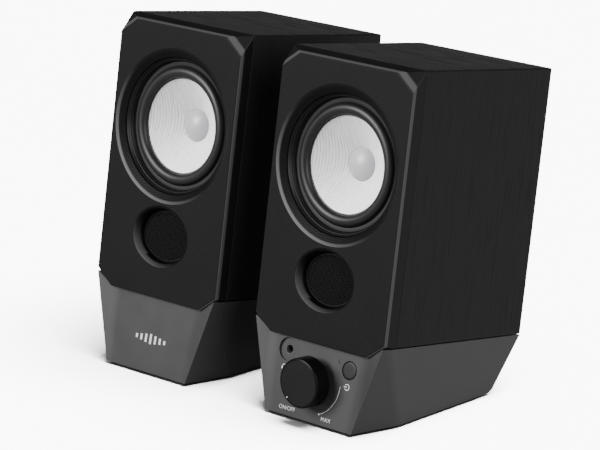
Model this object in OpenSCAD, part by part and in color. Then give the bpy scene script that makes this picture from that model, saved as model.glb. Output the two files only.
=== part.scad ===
/* [Pair] */
// Distance between the middles of the two speakers
spacing = 137; // [112:1:400]
// Backward lean of the wooden boxes in degrees
tilt = 9.2; // [6:0.2:12]

/* [Wooden box] */
// Width of the box
box_w = 104; // [102:1:112]
// Depth of the box without its front
box_d = 119; // [100:1:160]
// Height of the box above the joint with the base
box_h = 165; // [160:1:190]
// Board thickness
board = 9; // [7:0.5:11]

/* [Front] */
// How far the front stands out of the box
front_depth = 10; // [9:0.5:12]
// Thickness of the woven cover
cover_t = 3; // [2.5:0.25:4]
// Width of the clipped corners
clip_w = 13; // [10:0.5:15]
// Height of the clipped corners
clip_h = 9.75; // [8:0.25:12]
// How far the cover hangs below the joint
cover_drop = 8; // [6:0.5:10]

/* [Driver] */
// Height of the driver above the joint
driver_h = 100.5; // [96:0.5:104]
// Radius of the cone at its outer edge
cone_r = 29.3; // [27:0.1:31]
// Radius of the dust cap
cap_r = 10.2; // [9:0.1:11]
// Depth of the cone
cone_depth = 12.7; // [10:0.1:14]

/* [Port] */
// Height of the port above the joint
port_h = 30.9; // [28:0.5:32]
// Half width of the port mouth
port_a = 23.4; // [20:0.2:25]
// Half height of the port mouth
port_b = 19.2; // [16:0.2:21]

/* [Base] */
// Height of the joint's front edge above the floor
joint_z = 54.7; // [50:0.5:60]
// Wall thickness of the base
base_wall = 2.6; // [2:0.2:3.4]
// Height of the rubber feet
foot_h = 2; // [1.5:0.5:3]
// Lean of the control panel in degrees
panel_lean = 4.8; // [3:0.2:8]

/* [Controls] */
// Radius of the volume knob
knob_r = 15.3; // [13:0.1:17]
// Length of the volume knob
knob_len = 17; // [12:0.5:22]
// Height of the knob's axis up the panel
knob_v = 25.3; // [24:0.1:27]
// Radius of the push button
button_r = 5.3; // [4:0.1:6]
// Stroke of the push button
button_stroke = 1; // [0.6:0.1:1.4]

/* [Hidden] */
$fn = 72;
seam = 0.5;
slip = 0.02;
hair = 0.01;
reach = 400;
box_x = box_w / 2;
cover_x = box_x - 0.3;
cover_top = box_h - 2.7;
plug_gap = 0.1;
sink = front_depth - cover_t;
panel_y = -19.6;
lean_c = cos(panel_lean);
lean_s = sin(panel_lean);
knob_gap = 0.8;
rear_y = box_d * cos(tilt) + box_h * sin(tilt);
knob_face_y = panel_y - (knob_gap + knob_len) * lean_c + (knob_v - knob_r) * lean_s;
joint_y = -(rear_y + knob_face_y) / 2;
jack_x = -24.3;
jack_v = 39.2;
button_x = 25.4;
button_v = 36.8;
lamp_x = 17;
lamp_v = 40.5;
lamp_r = 0.75;
shaft_r = 3;
jack_r = 1.8;
dish_r = 7.1;
dish_depth = 1.5;
notch_end = 0.3;
lip_wall = 1.3;
rim_r = 47.5;
basket_r = 41;
screw_ring = 45;
crest_r = 33.4;
coil_r = 9.75;
gap_r = 10.95;
plate_t = 3.5;
magnet_t = 10;
gap_z = -33;
post_x = 26;
post_y = [14, 82];
link_x = -20;
link_h = 45;
input_x = [4, 20];
inlet_x = 0;
inlet_h = 60;

// Frames: the floor under one speaker, its leaning box, its driver and its panel
module standing(side) {
  translate([side * spacing / 2, joint_y, 0]) children();
}

module leaning(side) {
  standing(side) translate([0, 0, joint_z]) rotate([-tilt, 0, 0]) children();
}

module at_driver(side) {
  leaning(side) translate([0, -front_depth, driver_h]) rotate([90, 0, 0]) children();
}

module at_port(side) {
  leaning(side) translate([0, -front_depth, port_h]) rotate([90, 0, 0]) children();
}

module at_panel(side) {
  standing(side) translate([0, panel_y, foot_h]) rotate([-panel_lean, 0, 0]) children();
}

module inward(x, v) {
  translate([x, 0, v]) rotate([-90, 0, 0]) children();
}

// A point of the leaning box seen from the floor frame
function stood(p) = [p.x, p.y * cos(tilt) + p.z * sin(tilt),
  joint_z - p.y * sin(tilt) + p.z * cos(tilt)];

// Removes everything beyond the plane through three points
module beyond(a, b, c, inset) {
  n = cross(b - a, c - a) / norm(cross(b - a, c - a));
  translate(a - inset * n) rotate([0, acos(n.z), atan2(n.y, n.x)])
    translate([-reach / 2, -reach / 2, 0]) cube(reach);
}

module both_sides() {
  children();
  mirror([1, 0, 0]) children();
}

// Oval of four arcs with half axes a and b
module oval(a, b) {
  r = b * 0.86;
  c = a - r;
  big = (c * c + b * b - r * r) / (2 * (b - r));
  edge = big * c / (big - r);
  intersection() {
    translate([0, b - big]) circle(big, $fn = 120);
    translate([0, big - b]) circle(big, $fn = 120);
    square([2 * edge, 3 * b], center = true);
  }
  for (s = [-1, 1]) translate([s * c, 0]) circle(r);
}

// Wooden box
module cabinet(side) {
  color([0.07, 0.07, 0.07]) leaning(side) difference() {
    translate([-box_x, 0, 0]) cube([box_w, box_d, box_h]);
    translate([board - box_x, -1, board])
      cube([box_w - 2 * board, box_d - board + 1, box_h - 2 * board]);
    translate([-29, box_d - board - 1, 24]) cube([58, board + 2, 42]);
    for (x = [-34, 34], h = [20, 70])
      translate([x, box_d + 1, h]) rotate([90, 0, 0]) cylinder(r = 1.2, h = 8);
    translate([0, 70, -1]) cylinder(r = 5, h = board + 2);
  }
}

// Front part: rectangle at the box, clipped outline at the cover
module clipped(in) {
  x = cover_x - in;
  low = in - cover_drop;
  top = cover_top - in;
  polygon([[clip_w - x, low], [x - clip_w, low], [x, low + clip_h], [x, top - clip_h],
    [x - clip_w, top], [clip_w - x, top], [-x, top - clip_h], [-x, low + clip_h]]);
}

module front_slab(d, t) {
  translate([0, d + t, 0]) rotate([90, 0, 0]) linear_extrude(height = t) children();
}

module front_solid(grow, bevel) {
  hull() {
    front_slab(-hair, hair) translate([-box_x - grow, -grow])
      square([box_w + 2 * grow, box_h + 2 * grow]);
    front_slab(bevel - front_depth, hair) clipped(-grow);
    front_slab(-front_depth - grow, hair) clipped(bevel - grow);
  }
}

module baffle(side) {
  color([0.02, 0.02, 0.02]) leaning(side) difference() {
    union() {
      difference() {
        front_solid(0, 0.8);
        translate([-box_w, -front_depth - 1, -20]) cube([2 * box_w, cover_t + 1, 220]);
      }
      translate([board - box_x + plug_gap, 0, board + plug_gap])
        cube([box_w - 2 * (board + plug_gap), 8, box_h - 2 * (board + plug_gap)]);
    }
    translate([0, -front_depth, driver_h]) rotate([90, 0, 0]) {
      translate([0, 0, -5.6]) cylinder(r = rim_r + 0.2, h = 6);
      translate([0, 0, -9.9]) cylinder(r = 43.2, h = 6);
      translate([0, 0, -30]) cylinder(r = basket_r + 0.2, h = 30);
      for (a = [45:90:315])
        rotate([0, 0, a]) translate([screw_ring, 0, -11.5])
          cylinder(r = 1.2, h = 11, $fn = 24);
    }
    translate([0, -front_depth, port_h]) rotate([90, 0, 0])
      translate([0, 0, -30]) linear_extrude(height = 40) oval(port_a + 0.2, port_b + 0.2);
  }
}

module cover(side) {
  color([0.16, 0.16, 0.17]) leaning(side) difference() {
    intersection() {
      front_solid(0, 0.8);
      translate([-box_w, -front_depth, -20]) cube([2 * box_w, cover_t, 220]);
    }
    translate([0, -front_depth, driver_h]) rotate([90, 0, 0]) rotate_extrude($fn = 120)
      polygon([[0, -4], [42.6, -4], [42.6, -3], [43.6, -2], [46.2, -0.7], [47.8, 0],
        [47.8, 1], [0, 1]]);
    translate([0, -front_depth, port_h]) rotate([90, 0, 0])
      translate([0, 0, -5]) linear_extrude(height = 8) oval(port_a + 0.1, port_b + 0.1);
  }
}

// Drive unit, measured from the front of the cover
module driver_frame(side) {
  color([0.05, 0.05, 0.05]) at_driver(side) {
    difference() {
      rotate_extrude($fn = 120) polygon([[42.6, -3], [rim_r, -3], [rim_r, -5.6],
        [43, -5.6], [43, -9.8], [basket_r, -9.8], [basket_r, -13], [36.8, -13],
        [36.8, -9.6], [40, -9.6], [40, -8.8]]);
      for (a = [45:90:315]) rotate([0, 0, a]) translate([screw_ring, 0, 0]) {
        translate([0, 0, -6]) cylinder(r = 1.3, h = 4, $fn = 24);
        translate([0, 0, -4.6]) cylinder(r = 2.3, h = 4, $fn = 24);
      }
    }
    for (a = [0:60:300]) rotate([0, 0, a - 11]) rotate_extrude(angle = 22)
      polygon([[38, -12.5], [basket_r, -12.5], [31, -30.5], [27, -30.5]]);
    rotate_extrude() polygon([[12, gap_z], [31, gap_z], [31, -30], [25, -30], [25, -28.6],
      [22, -28.6], [22, -31], [12, -31]]);
  }
}

module top_plate(side) {
  color([0.6, 0.6, 0.62]) at_driver(side) translate([0, 0, gap_z - plate_t])
    difference() {
      cylinder(r = 26, h = plate_t);
      translate([0, 0, -1]) cylinder(r = gap_r, h = plate_t + 2);
    }
}

module magnet(side) {
  color([0.12, 0.12, 0.12]) at_driver(side)
    translate([0, 0, gap_z - plate_t - magnet_t]) difference() {
      cylinder(r = 27.5, h = magnet_t);
      translate([0, 0, -1]) cylinder(r = 15, h = magnet_t + 2);
    }
}

module pole_plate(side) {
  floor_z = gap_z - plate_t - magnet_t;
  color([0.6, 0.6, 0.62]) at_driver(side) {
    translate([0, 0, floor_z - plate_t]) cylinder(r = 26, h = plate_t);
    translate([0, 0, floor_z]) cylinder(r = coil_r - 0.4, h = magnet_t + plate_t);
  }
}

module voice_coil(side) {
  color([0.7, 0.35, 0.15]) at_driver(side) rotate_extrude() polygon([[coil_r, -23.2],
    [coil_r + 0.45, -23.2], [coil_r + 0.45, -33.6], [coil_r + 0.85, -33.6],
    [coil_r + 0.85, -40], [coil_r, -40]]);
}

module cone(side) {
  deep = -10 - cone_depth;
  color([0.85, 0.85, 0.86]) at_driver(side) rotate_extrude($fn = 120) polygon([
    [cone_r + 2, -10.6], [cone_r + 2, -10], [cone_r, -10], [23.6, -13.6], [17.5, -17.7],
    [cap_r + 0.15, deep], [cap_r + 0.05, deep - 3], [cap_r + 0.65, deep - 3],
    [cap_r + 0.75, deep - 0.5], [17.3, -18.6], [23.4, -14.5], [cone_r, -10.6]]);
}

module dust_cap(side) {
  rise = 4.6;
  ball = (cap_r * cap_r + rise * rise) / (2 * rise);
  foot = -10 - cone_depth;
  color([0.88, 0.88, 0.89]) at_driver(side) rotate_extrude() intersection() {
    difference() {
      translate([0, foot + rise - ball]) circle(ball, $fn = 120);
      translate([0, foot + rise - ball]) circle(ball - 0.5, $fn = 120);
    }
    translate([0, foot]) square([cap_r, 10]);
  }
}

module surround(side) {
  color([0.03, 0.03, 0.03]) at_driver(side) rotate_extrude($fn = 120) {
    intersection() {
      difference() {
        translate([crest_r, -9.6]) circle(3.8);
        translate([crest_r, -9.6]) circle(3.1);
      }
      translate([crest_r - 5, -9.6]) square([10, 6]);
    }
    translate([cone_r, -10]) square([1.2, 0.7]);
    translate([37, -9.6]) square([2.8, 0.8]);
  }
}

module spider(side) {
  color([0.75, 0.6, 0.3]) at_driver(side) rotate_extrude() polygon([[10.5, -28.6],
    [12, -28.6], [14, -27.6], [16, -28.6], [18, -27.6], [20, -28.6], [25, -28.6],
    [25, -28.2], [20.1, -28.2], [18, -27.2], [16, -28.2], [14, -27.2], [12, -28.2],
    [10.5, -28.2]]);
}

module driver_screws(side) {
  color([0.1, 0.1, 0.1]) at_driver(side) for (a = [45:90:315])
    rotate([0, 0, a]) translate([screw_ring, 0, 0]) {
      translate([0, 0, -11]) cylinder(r = 1.1, h = 6.4, $fn = 24);
      translate([0, 0, -4.6]) cylinder(r = 2.2, h = 1.4, $fn = 24);
    }
}

// Bass port with a flared mouth and a mesh disc inside
module port(side) {
  color([0.03, 0.03, 0.03]) at_port(side) difference() {
    translate([0, 0, -55]) linear_extrude(height = 55) oval(port_a, port_b);
    translate([0, 0, -7.4]) scale([1, 0.8, 1]) rotate_extrude($fn = 60) polygon([[0, 0],
      [20.2, 0], [20.5, 2.4], [21.2, 4.4], [22, 5.8], [23.1, 7.3], [23.1, 8], [0, 8]]);
    translate([0, 0, -56]) linear_extrude(height = 50) oval(18.6, 14.6);
  }
}

module port_mesh(side) {
  pitch = 3.6;
  color([0.06, 0.06, 0.06]) at_port(side) translate([0, 0, -7.4]) difference() {
    linear_extrude(height = 0.8) oval(19.7, 15.7);
    for (j = [-4:4], i = [-5:5]) {
      x = (i + (j % 2 == 0 ? 0 : 0.5)) * pitch;
      y = j * pitch * 0.866;
      if (norm([x / 18.2, y / 14.2]) < 1)
        translate([x, y, -1]) cylinder(r = 1.1, h = 3, $fn = 16);
    }
  }
}

// Base housing: every outer plane can be moved inwards for the hollow
ridge_top = [50.4, -10, -1.5];
ridge_low = [34.4, -10.9, -55];
bend_top = [38.5, -14.3, -9];
bend_low = [33.6, -10.9, -55];
crease_low = [44.5, 20.5, -50];
side_slope = 0.15;

module base_solid(inset, open_z) {
  corner_y = 96.3;
  heel = 6;
  back = stood([0, box_d, 0]);
  slope = atan2(back.z - foot_h, back.y - corner_y);
  run = heel * tan(slope / 2);
  difference() {
    rotate([90, 0, 90]) translate([0, 0, -box_x]) linear_extrude(height = box_w) {
      polygon([[-30, foot_h + open_z], [corner_y - run - inset, foot_h + open_z],
        [corner_y - run - inset, foot_h + heel],
        [corner_y + run * cos(slope), foot_h + run * sin(slope)],
        [back.y, back.z], [back.y - 140 * cos(tilt), back.z + 140 * sin(tilt)],
        [-30, 60]]);
      translate([corner_y - run, foot_h + heel]) circle(heel - inset);
    }
    both_sides() {
      beyond(stood(ridge_top), stood(ridge_low), stood(crease_low), inset);
      beyond(stood([box_x, 0, 0]), stood([box_x - 50 * side_slope, 0, -50]),
        stood([box_x, 10, 0]), inset);
      beyond(stood(bend_top), stood(bend_low), stood(ridge_top), inset);
    }
    translate([0, panel_y, foot_h]) rotate([-panel_lean, 0, 0])
      translate([-reach / 2, inset - reach, -50]) cube(reach);
    beyond([0, corner_y, foot_h], back, [10, corner_y, foot_h], inset);
    translate([0, 0, joint_z]) rotate([-tilt, 0, 0])
      translate([-reach / 2, -reach / 2, -seam - inset]) cube(reach);
  }
}

// Room for the front part in the base, a hair wider than its outline
module notch() {
  front_slab(-30, 30 - notch_end) clipped(-seam);
}

module base_shell() {
  difference() {
    base_solid(0, 0);
    base_solid(base_wall, -20);
    translate([0, 0, joint_z]) rotate([-tilt, 0, 0]) {
      notch();
      translate([0, 70, -20]) cylinder(r = 5, h = 30);
    }
  }
}

module base_lip_wall() {
  intersection() {
    base_solid(0, 0);
    translate([0, 0, joint_z]) rotate([-tilt, 0, 0]) difference() {
      front_slab(-30, 30 + lip_wall - notch_end) clipped(-seam - base_wall);
      notch();
    }
  }
}

module base_posts() {
  intersection() {
    base_solid(1, 0);
    for (x = [-post_x, post_x], y = post_y) translate([x, y, foot_h + 2]) difference() {
      cylinder(r = 4, h = 60);
      translate([0, 0, -1]) cylinder(r = 1.4, h = 12, $fn = 24);
    }
  }
}

module seat_rim() {
  translate([0, 0, joint_z]) rotate([-tilt, 0, 0]) difference() {
    translate([4 - box_x, 3, -seam - 0.2]) cube([box_w - 8, box_d - 7, seam + 0.2]);
    translate([8 - box_x, 7, -2]) cube([box_w - 16, box_d - 15, 4]);
  }
}

module base_body() {
  base_shell();
  base_lip_wall();
  base_posts();
  seat_rim();
}

module left_base() {
  color([0.35, 0.35, 0.36]) standing(-1) base_body();
}

// The right base carries the controls
module right_base() {
  color([0.35, 0.35, 0.36]) difference() {
    union() {
      standing(1) base_body();
      at_panel(1) inward(jack_x, jack_v)
        translate([0, 0, 1]) cylinder(r = dish_r + 1.3, h = dish_depth + 1.7);
    }
    leaning(1) notch();
    at_panel(1) {
      inward(0, knob_v) translate([0, 0, -1]) cylinder(r = 4.7, h = 6);
      inward(button_x, button_v) translate([0, 0, -1]) cylinder(r = button_r + 0.4, h = 6);
      inward(lamp_x, lamp_v) translate([0, 0, -1]) cylinder(r = lamp_r + 0.1, h = 6, $fn = 24);
      inward(jack_x, jack_v) {
        translate([0, 0, -1]) cylinder(r = dish_r, h = 1 + dish_depth);
        translate([0, 0, 1]) cylinder(r = jack_r + 1.4, h = 6);
      }
    }
  }
}

module base_plate(side) {
  color([0.04, 0.04, 0.04]) standing(side) difference() {
    intersection() {
      base_solid(base_wall + 0.1, -20);
      translate([-100, -100, foot_h]) cube([200, 300, 2]);
    }
    for (x = [-post_x, post_x], y = post_y) translate([x, y, foot_h - 1]) {
      cylinder(r = 1.7, h = 4, $fn = 24);
      cylinder(r = 3, h = 2.2, $fn = 24);
    }
  }
}

module base_screws(side) {
  color([0.1, 0.1, 0.1]) standing(side)
    for (x = [-post_x, post_x], y = post_y) translate([x, y, foot_h + 0.2]) {
      cylinder(r = 2.8, h = 1, $fn = 24);
      cylinder(r = 1.35, h = 11, $fn = 24);
    }
}

module front_foot(side) {
  color([0.02, 0.02, 0.02]) standing(side) translate([-31, panel_y + 3, 0])
    cube([62, 8, foot_h]);
}

module rear_feet(side) {
  color([0.02, 0.02, 0.02]) standing(side)
    for (x = [-37.5, 37.5]) translate([x, 81, 0]) cylinder(r = 5, h = foot_h);
}

// Rear connections
panel_low = 20;
panel_high = 70;
screw_x = 34;

module rear_panel(side, holes) {
  color([0.03, 0.03, 0.03]) leaning(side) difference() {
    translate([-38, box_d, panel_low - 5])
      cube([76, 2, panel_high - panel_low + 10]);
    for (x = [-screw_x, screw_x], h = [panel_low, panel_high])
      translate([x, box_d + 3, h]) rotate([90, 0, 0]) cylinder(r = 1.6, h = 4, $fn = 24);
    for (p = holes)
      translate([p.x, box_d + 3, p.y]) rotate([90, 0, 0]) cylinder(r = 5.2, h = 4);
  }
}

module panel_screws(side) {
  color([0.1, 0.1, 0.1]) leaning(side)
    for (x = [-screw_x, screw_x], h = [panel_low, panel_high])
      translate([x, box_d + 2, h]) rotate([90, 0, 0]) {
        cylinder(r = 1.1, h = 8, $fn = 24);
        translate([0, 0, -1.4]) cylinder(r = 2.6, h = 1.4, $fn = 24);
      }
}

// Round socket with a collar, an outer barrel and a contact bore
module phono_socket(x, h) {
  translate([x, box_d, h]) rotate([-90, 0, 0]) rotate_extrude() polygon([[1.65, -8],
    [5, -8], [5, 2], [6, 2], [6, 3.4], [4.15, 3.4], [4.15, 9], [3.4, 9], [3.4, 3.4],
    [1.65, 3.4]]);
}

module link_socket(side) {
  color([0.75, 0.6, 0.3]) leaning(side) phono_socket(link_x, link_h);
}

module input_sockets() {
  color([0.75, 0.6, 0.3]) leaning(1) for (x = input_x) phono_socket(x, link_h);
}

module power_inlet() {
  color([0.05, 0.05, 0.05]) leaning(1) translate([inlet_x, box_d, inlet_h])
    rotate([-90, 0, 0]) {
      difference() {
        translate([0, 0, -10]) cylinder(r = 5, h = 12);
        translate([0, 0, -8]) cylinder(r = 2.8, h = 12, $fn = 32);
      }
      difference() {
        translate([0, 0, 2]) cylinder(r = 6, h = 1.4);
        translate([0, 0, 1]) cylinder(r = 2.8, h = 4, $fn = 32);
      }
      translate([0, 0, -8]) cylinder(r = 1, h = 9, $fn = 24);
    }
}

// Volume control
module volume_knob() {
  color([0.06, 0.06, 0.06]) at_panel(1) inward(0, knob_v) difference() {
    rotate_extrude($fn = 120) polygon([[0, -knob_gap], [knob_r - 0.4, -knob_gap],
      [knob_r, -knob_gap - 0.5], [knob_r - 0.2, 0.9 - knob_gap - knob_len],
      [knob_r - 0.5, 0.3 - knob_gap - knob_len],
      [knob_r - 1.1, -knob_gap - knob_len], [0, -knob_gap - knob_len]]);
    translate([0, 0, -12]) cylinder(r = shaft_r + slip, h = 12);
    translate([0, 0, -4.2]) cylinder(r = 8, h = 5);
    translate([-8.5, 10.2, -knob_gap - knob_len - 0.6]) cylinder(r = 0.75, h = 1, $fn = 24);
  }
}

module pot_shaft() {
  color([0.6, 0.6, 0.62]) at_panel(1) inward(0, knob_v)
    translate([0, 0, -11.9]) cylinder(r = shaft_r, h = 26);
}

module pot_body() {
  color([0.5, 0.5, 0.52]) at_panel(1) {
    difference() {
      union() {
        translate([-8.5, 4.4, knob_v - 9]) cube([17, 11, 18]);
        inward(0, knob_v) translate([0, 0, -3.4]) cylinder(r = 4.4, h = 8);
      }
      inward(0, knob_v) translate([0, 0, -4]) cylinder(r = shaft_r + 0.05, h = 18.2);
    }
  }
}

module pot_nut() {
  color([0.65, 0.65, 0.68]) at_panel(1) inward(0, knob_v) translate([0, 0, -2])
    difference() {
      cylinder(r = 6.6, h = 2, $fn = 6);
      translate([0, 0, -1]) cylinder(r = 4.45, h = 4);
    }
}

// Push button with its switch behind
module push_button() {
  color([0.3, 0.3, 0.31]) at_panel(1) inward(button_x, button_v) {
    rotate_extrude() polygon([[0, -0.2], [button_r - 0.4, -0.2], [button_r, 0.2],
      [button_r, 3.6], [0, 3.6]]);
    translate([0, 0, 3.6]) cylinder(r = button_r + 1.2, h = 1);
    translate([0, 0, 4.6]) cylinder(r = 1.7, h = 6.4, $fn = 24);
  }
}

module switch_body() {
  color([0.08, 0.08, 0.08]) at_panel(1) difference() {
    translate([button_x - 3, 8.6, button_v - 3]) cube([6, 7.4, 6]);
    inward(button_x, button_v) translate([0, 0, 8]) cylinder(r = 2.1, h = 4.6, $fn = 24);
  }
}

module headphone_socket() {
  color([0.05, 0.05, 0.05]) at_panel(1) {
    difference() {
      union() {
        translate([jack_x - 4.5, 4.3, jack_v - 4.5]) cube([9, 11.6, 7.7]);
        inward(jack_x, jack_v) cylinder(r = jack_r + 1.3, h = 5);
      }
      inward(jack_x, jack_v) translate([0, 0, -1]) cylinder(r = jack_r, h = 15);
    }
  }
}

module lamp_lens() {
  color([0.7, 0.75, 0.85, 0.8]) at_panel(1) inward(lamp_x, lamp_v)
    translate([0, 0, 0.1]) cylinder(r = lamp_r, h = 15.8, $fn = 24);
}

module control_board() {
  color([0.05, 0.25, 0.1]) at_panel(1) difference() {
    translate([-30, 16, 12]) cube([60, 1.6, 33]);
    inward(0, knob_v) translate([0, 0, 14]) cylinder(r = 3.6, h = 6);
    for (x = [-27, 27])
      inward(x, 16) translate([0, 0, 14]) cylinder(r = 1.6, h = 6, $fn = 24);
  }
}

module amplifier_board() {
  color([0.05, 0.25, 0.1]) leaning(1) {
    translate([-27, box_d - 12, 26]) cube([54, 1.6, 38]);
    for (x = [-18, -6])
      translate([x, box_d - 12, 52]) rotate([90, 0, 0]) cylinder(r = 5, h = 16);
  }
}

module heat_sink() {
  color([0.7, 0.7, 0.72]) leaning(1) {
    translate([2, box_d - 14.5, 40]) cube([22, 2.5, 20]);
    for (i = [0:5])
      translate([2 + i * 4.1, box_d - 26, 40]) cube([1.5, 11.5, 20]);
  }
}

cabinet(-1);  // left_cabinet
baffle(-1);  // left_baffle
cover(-1);  // left_cover
left_base();
base_plate(-1);  // left_base_plate
front_foot(-1);  // left_front_foot
rear_feet(-1);  // left_rear_feet
driver_frame(-1);  // left_driver_frame
top_plate(-1);  // left_top_plate
magnet(-1);  // left_magnet
pole_plate(-1);  // left_pole_plate
voice_coil(-1);  // left_voice_coil
cone(-1);  // left_cone
dust_cap(-1);  // left_dust_cap
surround(-1);  // left_surround
spider(-1);  // left_spider
port(-1);  // left_port
port_mesh(-1);  // left_port_mesh
rear_panel(-1, [[link_x, link_h]]);  // left_rear_panel
link_socket(-1);  // left_link_socket
driver_screws(-1);  // left_driver_screws
panel_screws(-1);  // left_panel_screws
base_screws(-1);  // left_base_screws
cabinet(1);  // right_cabinet
baffle(1);  // right_baffle
cover(1);  // right_cover
right_base();
base_plate(1);  // right_base_plate
front_foot(1);  // right_front_foot
rear_feet(1);  // right_rear_feet
driver_frame(1);  // right_driver_frame
top_plate(1);  // right_top_plate
magnet(1);  // right_magnet
pole_plate(1);  // right_pole_plate
voice_coil(1);  // right_voice_coil
cone(1);  // right_cone
dust_cap(1);  // right_dust_cap
surround(1);  // right_surround
spider(1);  // right_spider
port(1);  // right_port
port_mesh(1);  // right_port_mesh
rear_panel(1, [[link_x, link_h], [4, link_h], [20, link_h], [inlet_x, inlet_h]]);  // right_rear_panel
link_socket(1);  // right_link_socket
driver_screws(1);  // right_driver_screws
panel_screws(1);  // right_panel_screws
base_screws(1);  // right_base_screws
input_sockets();
power_inlet();
volume_knob();
pot_shaft();
pot_body();
pot_nut();
push_button();
switch_body();
headphone_socket();
lamp_lens();
control_board();
amplifier_board();
heat_sink();
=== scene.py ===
import math
import bpy
import bmesh
from mathutils import Matrix, Vector
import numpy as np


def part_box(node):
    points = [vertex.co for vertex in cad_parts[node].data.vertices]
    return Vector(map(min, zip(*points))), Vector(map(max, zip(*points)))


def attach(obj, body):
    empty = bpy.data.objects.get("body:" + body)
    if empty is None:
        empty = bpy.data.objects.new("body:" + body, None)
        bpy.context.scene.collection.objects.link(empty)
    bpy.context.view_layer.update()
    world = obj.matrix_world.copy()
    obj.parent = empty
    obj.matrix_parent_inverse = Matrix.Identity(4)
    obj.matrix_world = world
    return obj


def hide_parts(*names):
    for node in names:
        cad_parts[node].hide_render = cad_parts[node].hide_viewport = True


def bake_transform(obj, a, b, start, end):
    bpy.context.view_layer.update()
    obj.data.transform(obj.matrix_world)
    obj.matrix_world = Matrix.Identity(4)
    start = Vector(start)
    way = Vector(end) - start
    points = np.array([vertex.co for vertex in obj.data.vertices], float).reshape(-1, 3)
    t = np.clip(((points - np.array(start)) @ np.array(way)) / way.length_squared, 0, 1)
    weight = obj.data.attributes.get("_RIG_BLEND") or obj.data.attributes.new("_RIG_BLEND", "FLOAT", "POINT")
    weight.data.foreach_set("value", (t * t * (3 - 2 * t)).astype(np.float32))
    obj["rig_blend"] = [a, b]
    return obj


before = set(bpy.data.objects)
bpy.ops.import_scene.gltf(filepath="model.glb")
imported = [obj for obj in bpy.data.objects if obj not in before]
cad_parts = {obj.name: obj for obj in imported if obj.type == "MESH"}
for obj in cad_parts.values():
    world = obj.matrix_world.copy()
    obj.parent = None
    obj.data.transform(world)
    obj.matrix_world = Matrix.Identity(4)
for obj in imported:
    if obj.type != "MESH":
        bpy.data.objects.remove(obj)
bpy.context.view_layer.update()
print("frame loaded:", len(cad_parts), "CAD nodes")

mm = 0.001
turn = 2 * math.pi

# Both speakers, in millimetres, in the leaning frame of the wooden box
speaker = {
    "lean": 9.2,
    "jointHeight": 54.7,
    "footInset": 16.6,
    "boxWidth": 104.0,
    "boxDepth": 119.0,
    "boxHeight": 165.0,
    "board": 9.0,
    "frontDepth": 10.0,
    "driverHeight": 100.5,
    "portHeight": 30.9,
    "axisLean": 4.8,
    "axisFront": -19.6,
    "panelLean": 13.8,
    "panelFront": -19.3,
    "footHeight": 2.0,
}
lean = math.radians(speaker["lean"])
panelLean = math.radians(speaker["panelLean"])


# ---- places: each gives a matrix from millimetres in a local frame to the row frame

def shift(x, y, z):
    return Matrix.Translation((x * mm, y * mm, z * mm))


def standPlace(side):
    low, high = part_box(side + "_front_foot")
    return Matrix.Translation(((low.x + high.x) / 2, low.y + speaker["footInset"] * mm, 0))


def boxPlace(side):
    return standPlace(side) @ shift(0, 0, speaker["jointHeight"]) @ Matrix.Rotation(-lean, 4, "X")


def frontPlace(side, height=0):  # x across, y up the cover, z out of it
    return boxPlace(side) @ shift(0, -speaker["frontDepth"], height) @ Matrix.Rotation(math.pi / 2, 4, "X")


def rearPlace(side):  # x across, y up, z out of the back
    return boxPlace(side) @ shift(0, speaker["boxDepth"], 0) @ Matrix.Rotation(-math.pi / 2, 4, "X") @ Matrix.Rotation(math.pi, 4, "Z")


def panelPlace(side, x=0, height=0):  # x across, y up the control face, z out of it
    place = standPlace(side) @ shift(0, speaker["panelFront"], speaker["footHeight"])
    return place @ Matrix.Rotation(-panelLean, 4, "X") @ shift(x, 0, height) @ Matrix.Rotation(math.pi / 2, 4, "X")


def axisPlace(side, x=0, height=0):  # the same, square to the axis that the knob turns on
    place = standPlace(side) @ shift(0, speaker["axisFront"], speaker["footHeight"])
    tilted = place @ Matrix.Rotation(-math.radians(speaker["axisLean"]), 4, "X")
    return tilted @ shift(x, 0, height) @ Matrix.Rotation(math.pi / 2, 4, "X")


# ---- mesh tools

def newObject(name, bm):
    mesh = bpy.data.meshes.new(name)
    bm.to_mesh(mesh)
    bm.free()
    thing = bpy.data.objects.new(name, mesh)
    bpy.context.collection.objects.link(thing)
    return thing


def settle(thing):
    graph = bpy.context.evaluated_depsgraph_get()
    fresh = bpy.data.meshes.new_from_object(thing.evaluated_get(graph), preserve_all_data_layers=True, depsgraph=graph)
    stale = thing.data
    thing.modifiers.clear()
    thing.data = fresh
    bpy.data.meshes.remove(stale)
    return thing


def carve(thing, cutter, operation="DIFFERENCE"):
    cut = thing.modifiers.new("carve", "BOOLEAN")
    cut.object = cutter
    cut.operation = operation
    cut.solver = "EXACT"
    settle(thing)
    bpy.data.objects.remove(cutter, do_unlink=True)
    return thing


def soften(thing, width, segments=3, angle=35):
    edge = thing.modifiers.new("soften", "BEVEL")
    edge.width = width
    edge.segments = segments
    edge.limit_method = "ANGLE"
    edge.angle_limit = math.radians(angle)
    return settle(thing)


def smooth(thing, angle=38, weighted=True):
    bm = bmesh.new()
    bm.from_mesh(thing.data)
    limit = math.radians(angle)
    for face in bm.faces:
        face.smooth = True
    for edge in bm.edges:
        edge.smooth = len(edge.link_faces) == 2 and edge.calc_face_angle(0) < limit
    bm.to_mesh(thing.data)
    bm.free()
    if weighted:
        normals = thing.modifiers.new("normals", "WEIGHTED_NORMAL")
        normals.keep_sharp = True
        settle(thing)
    return thing


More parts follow.
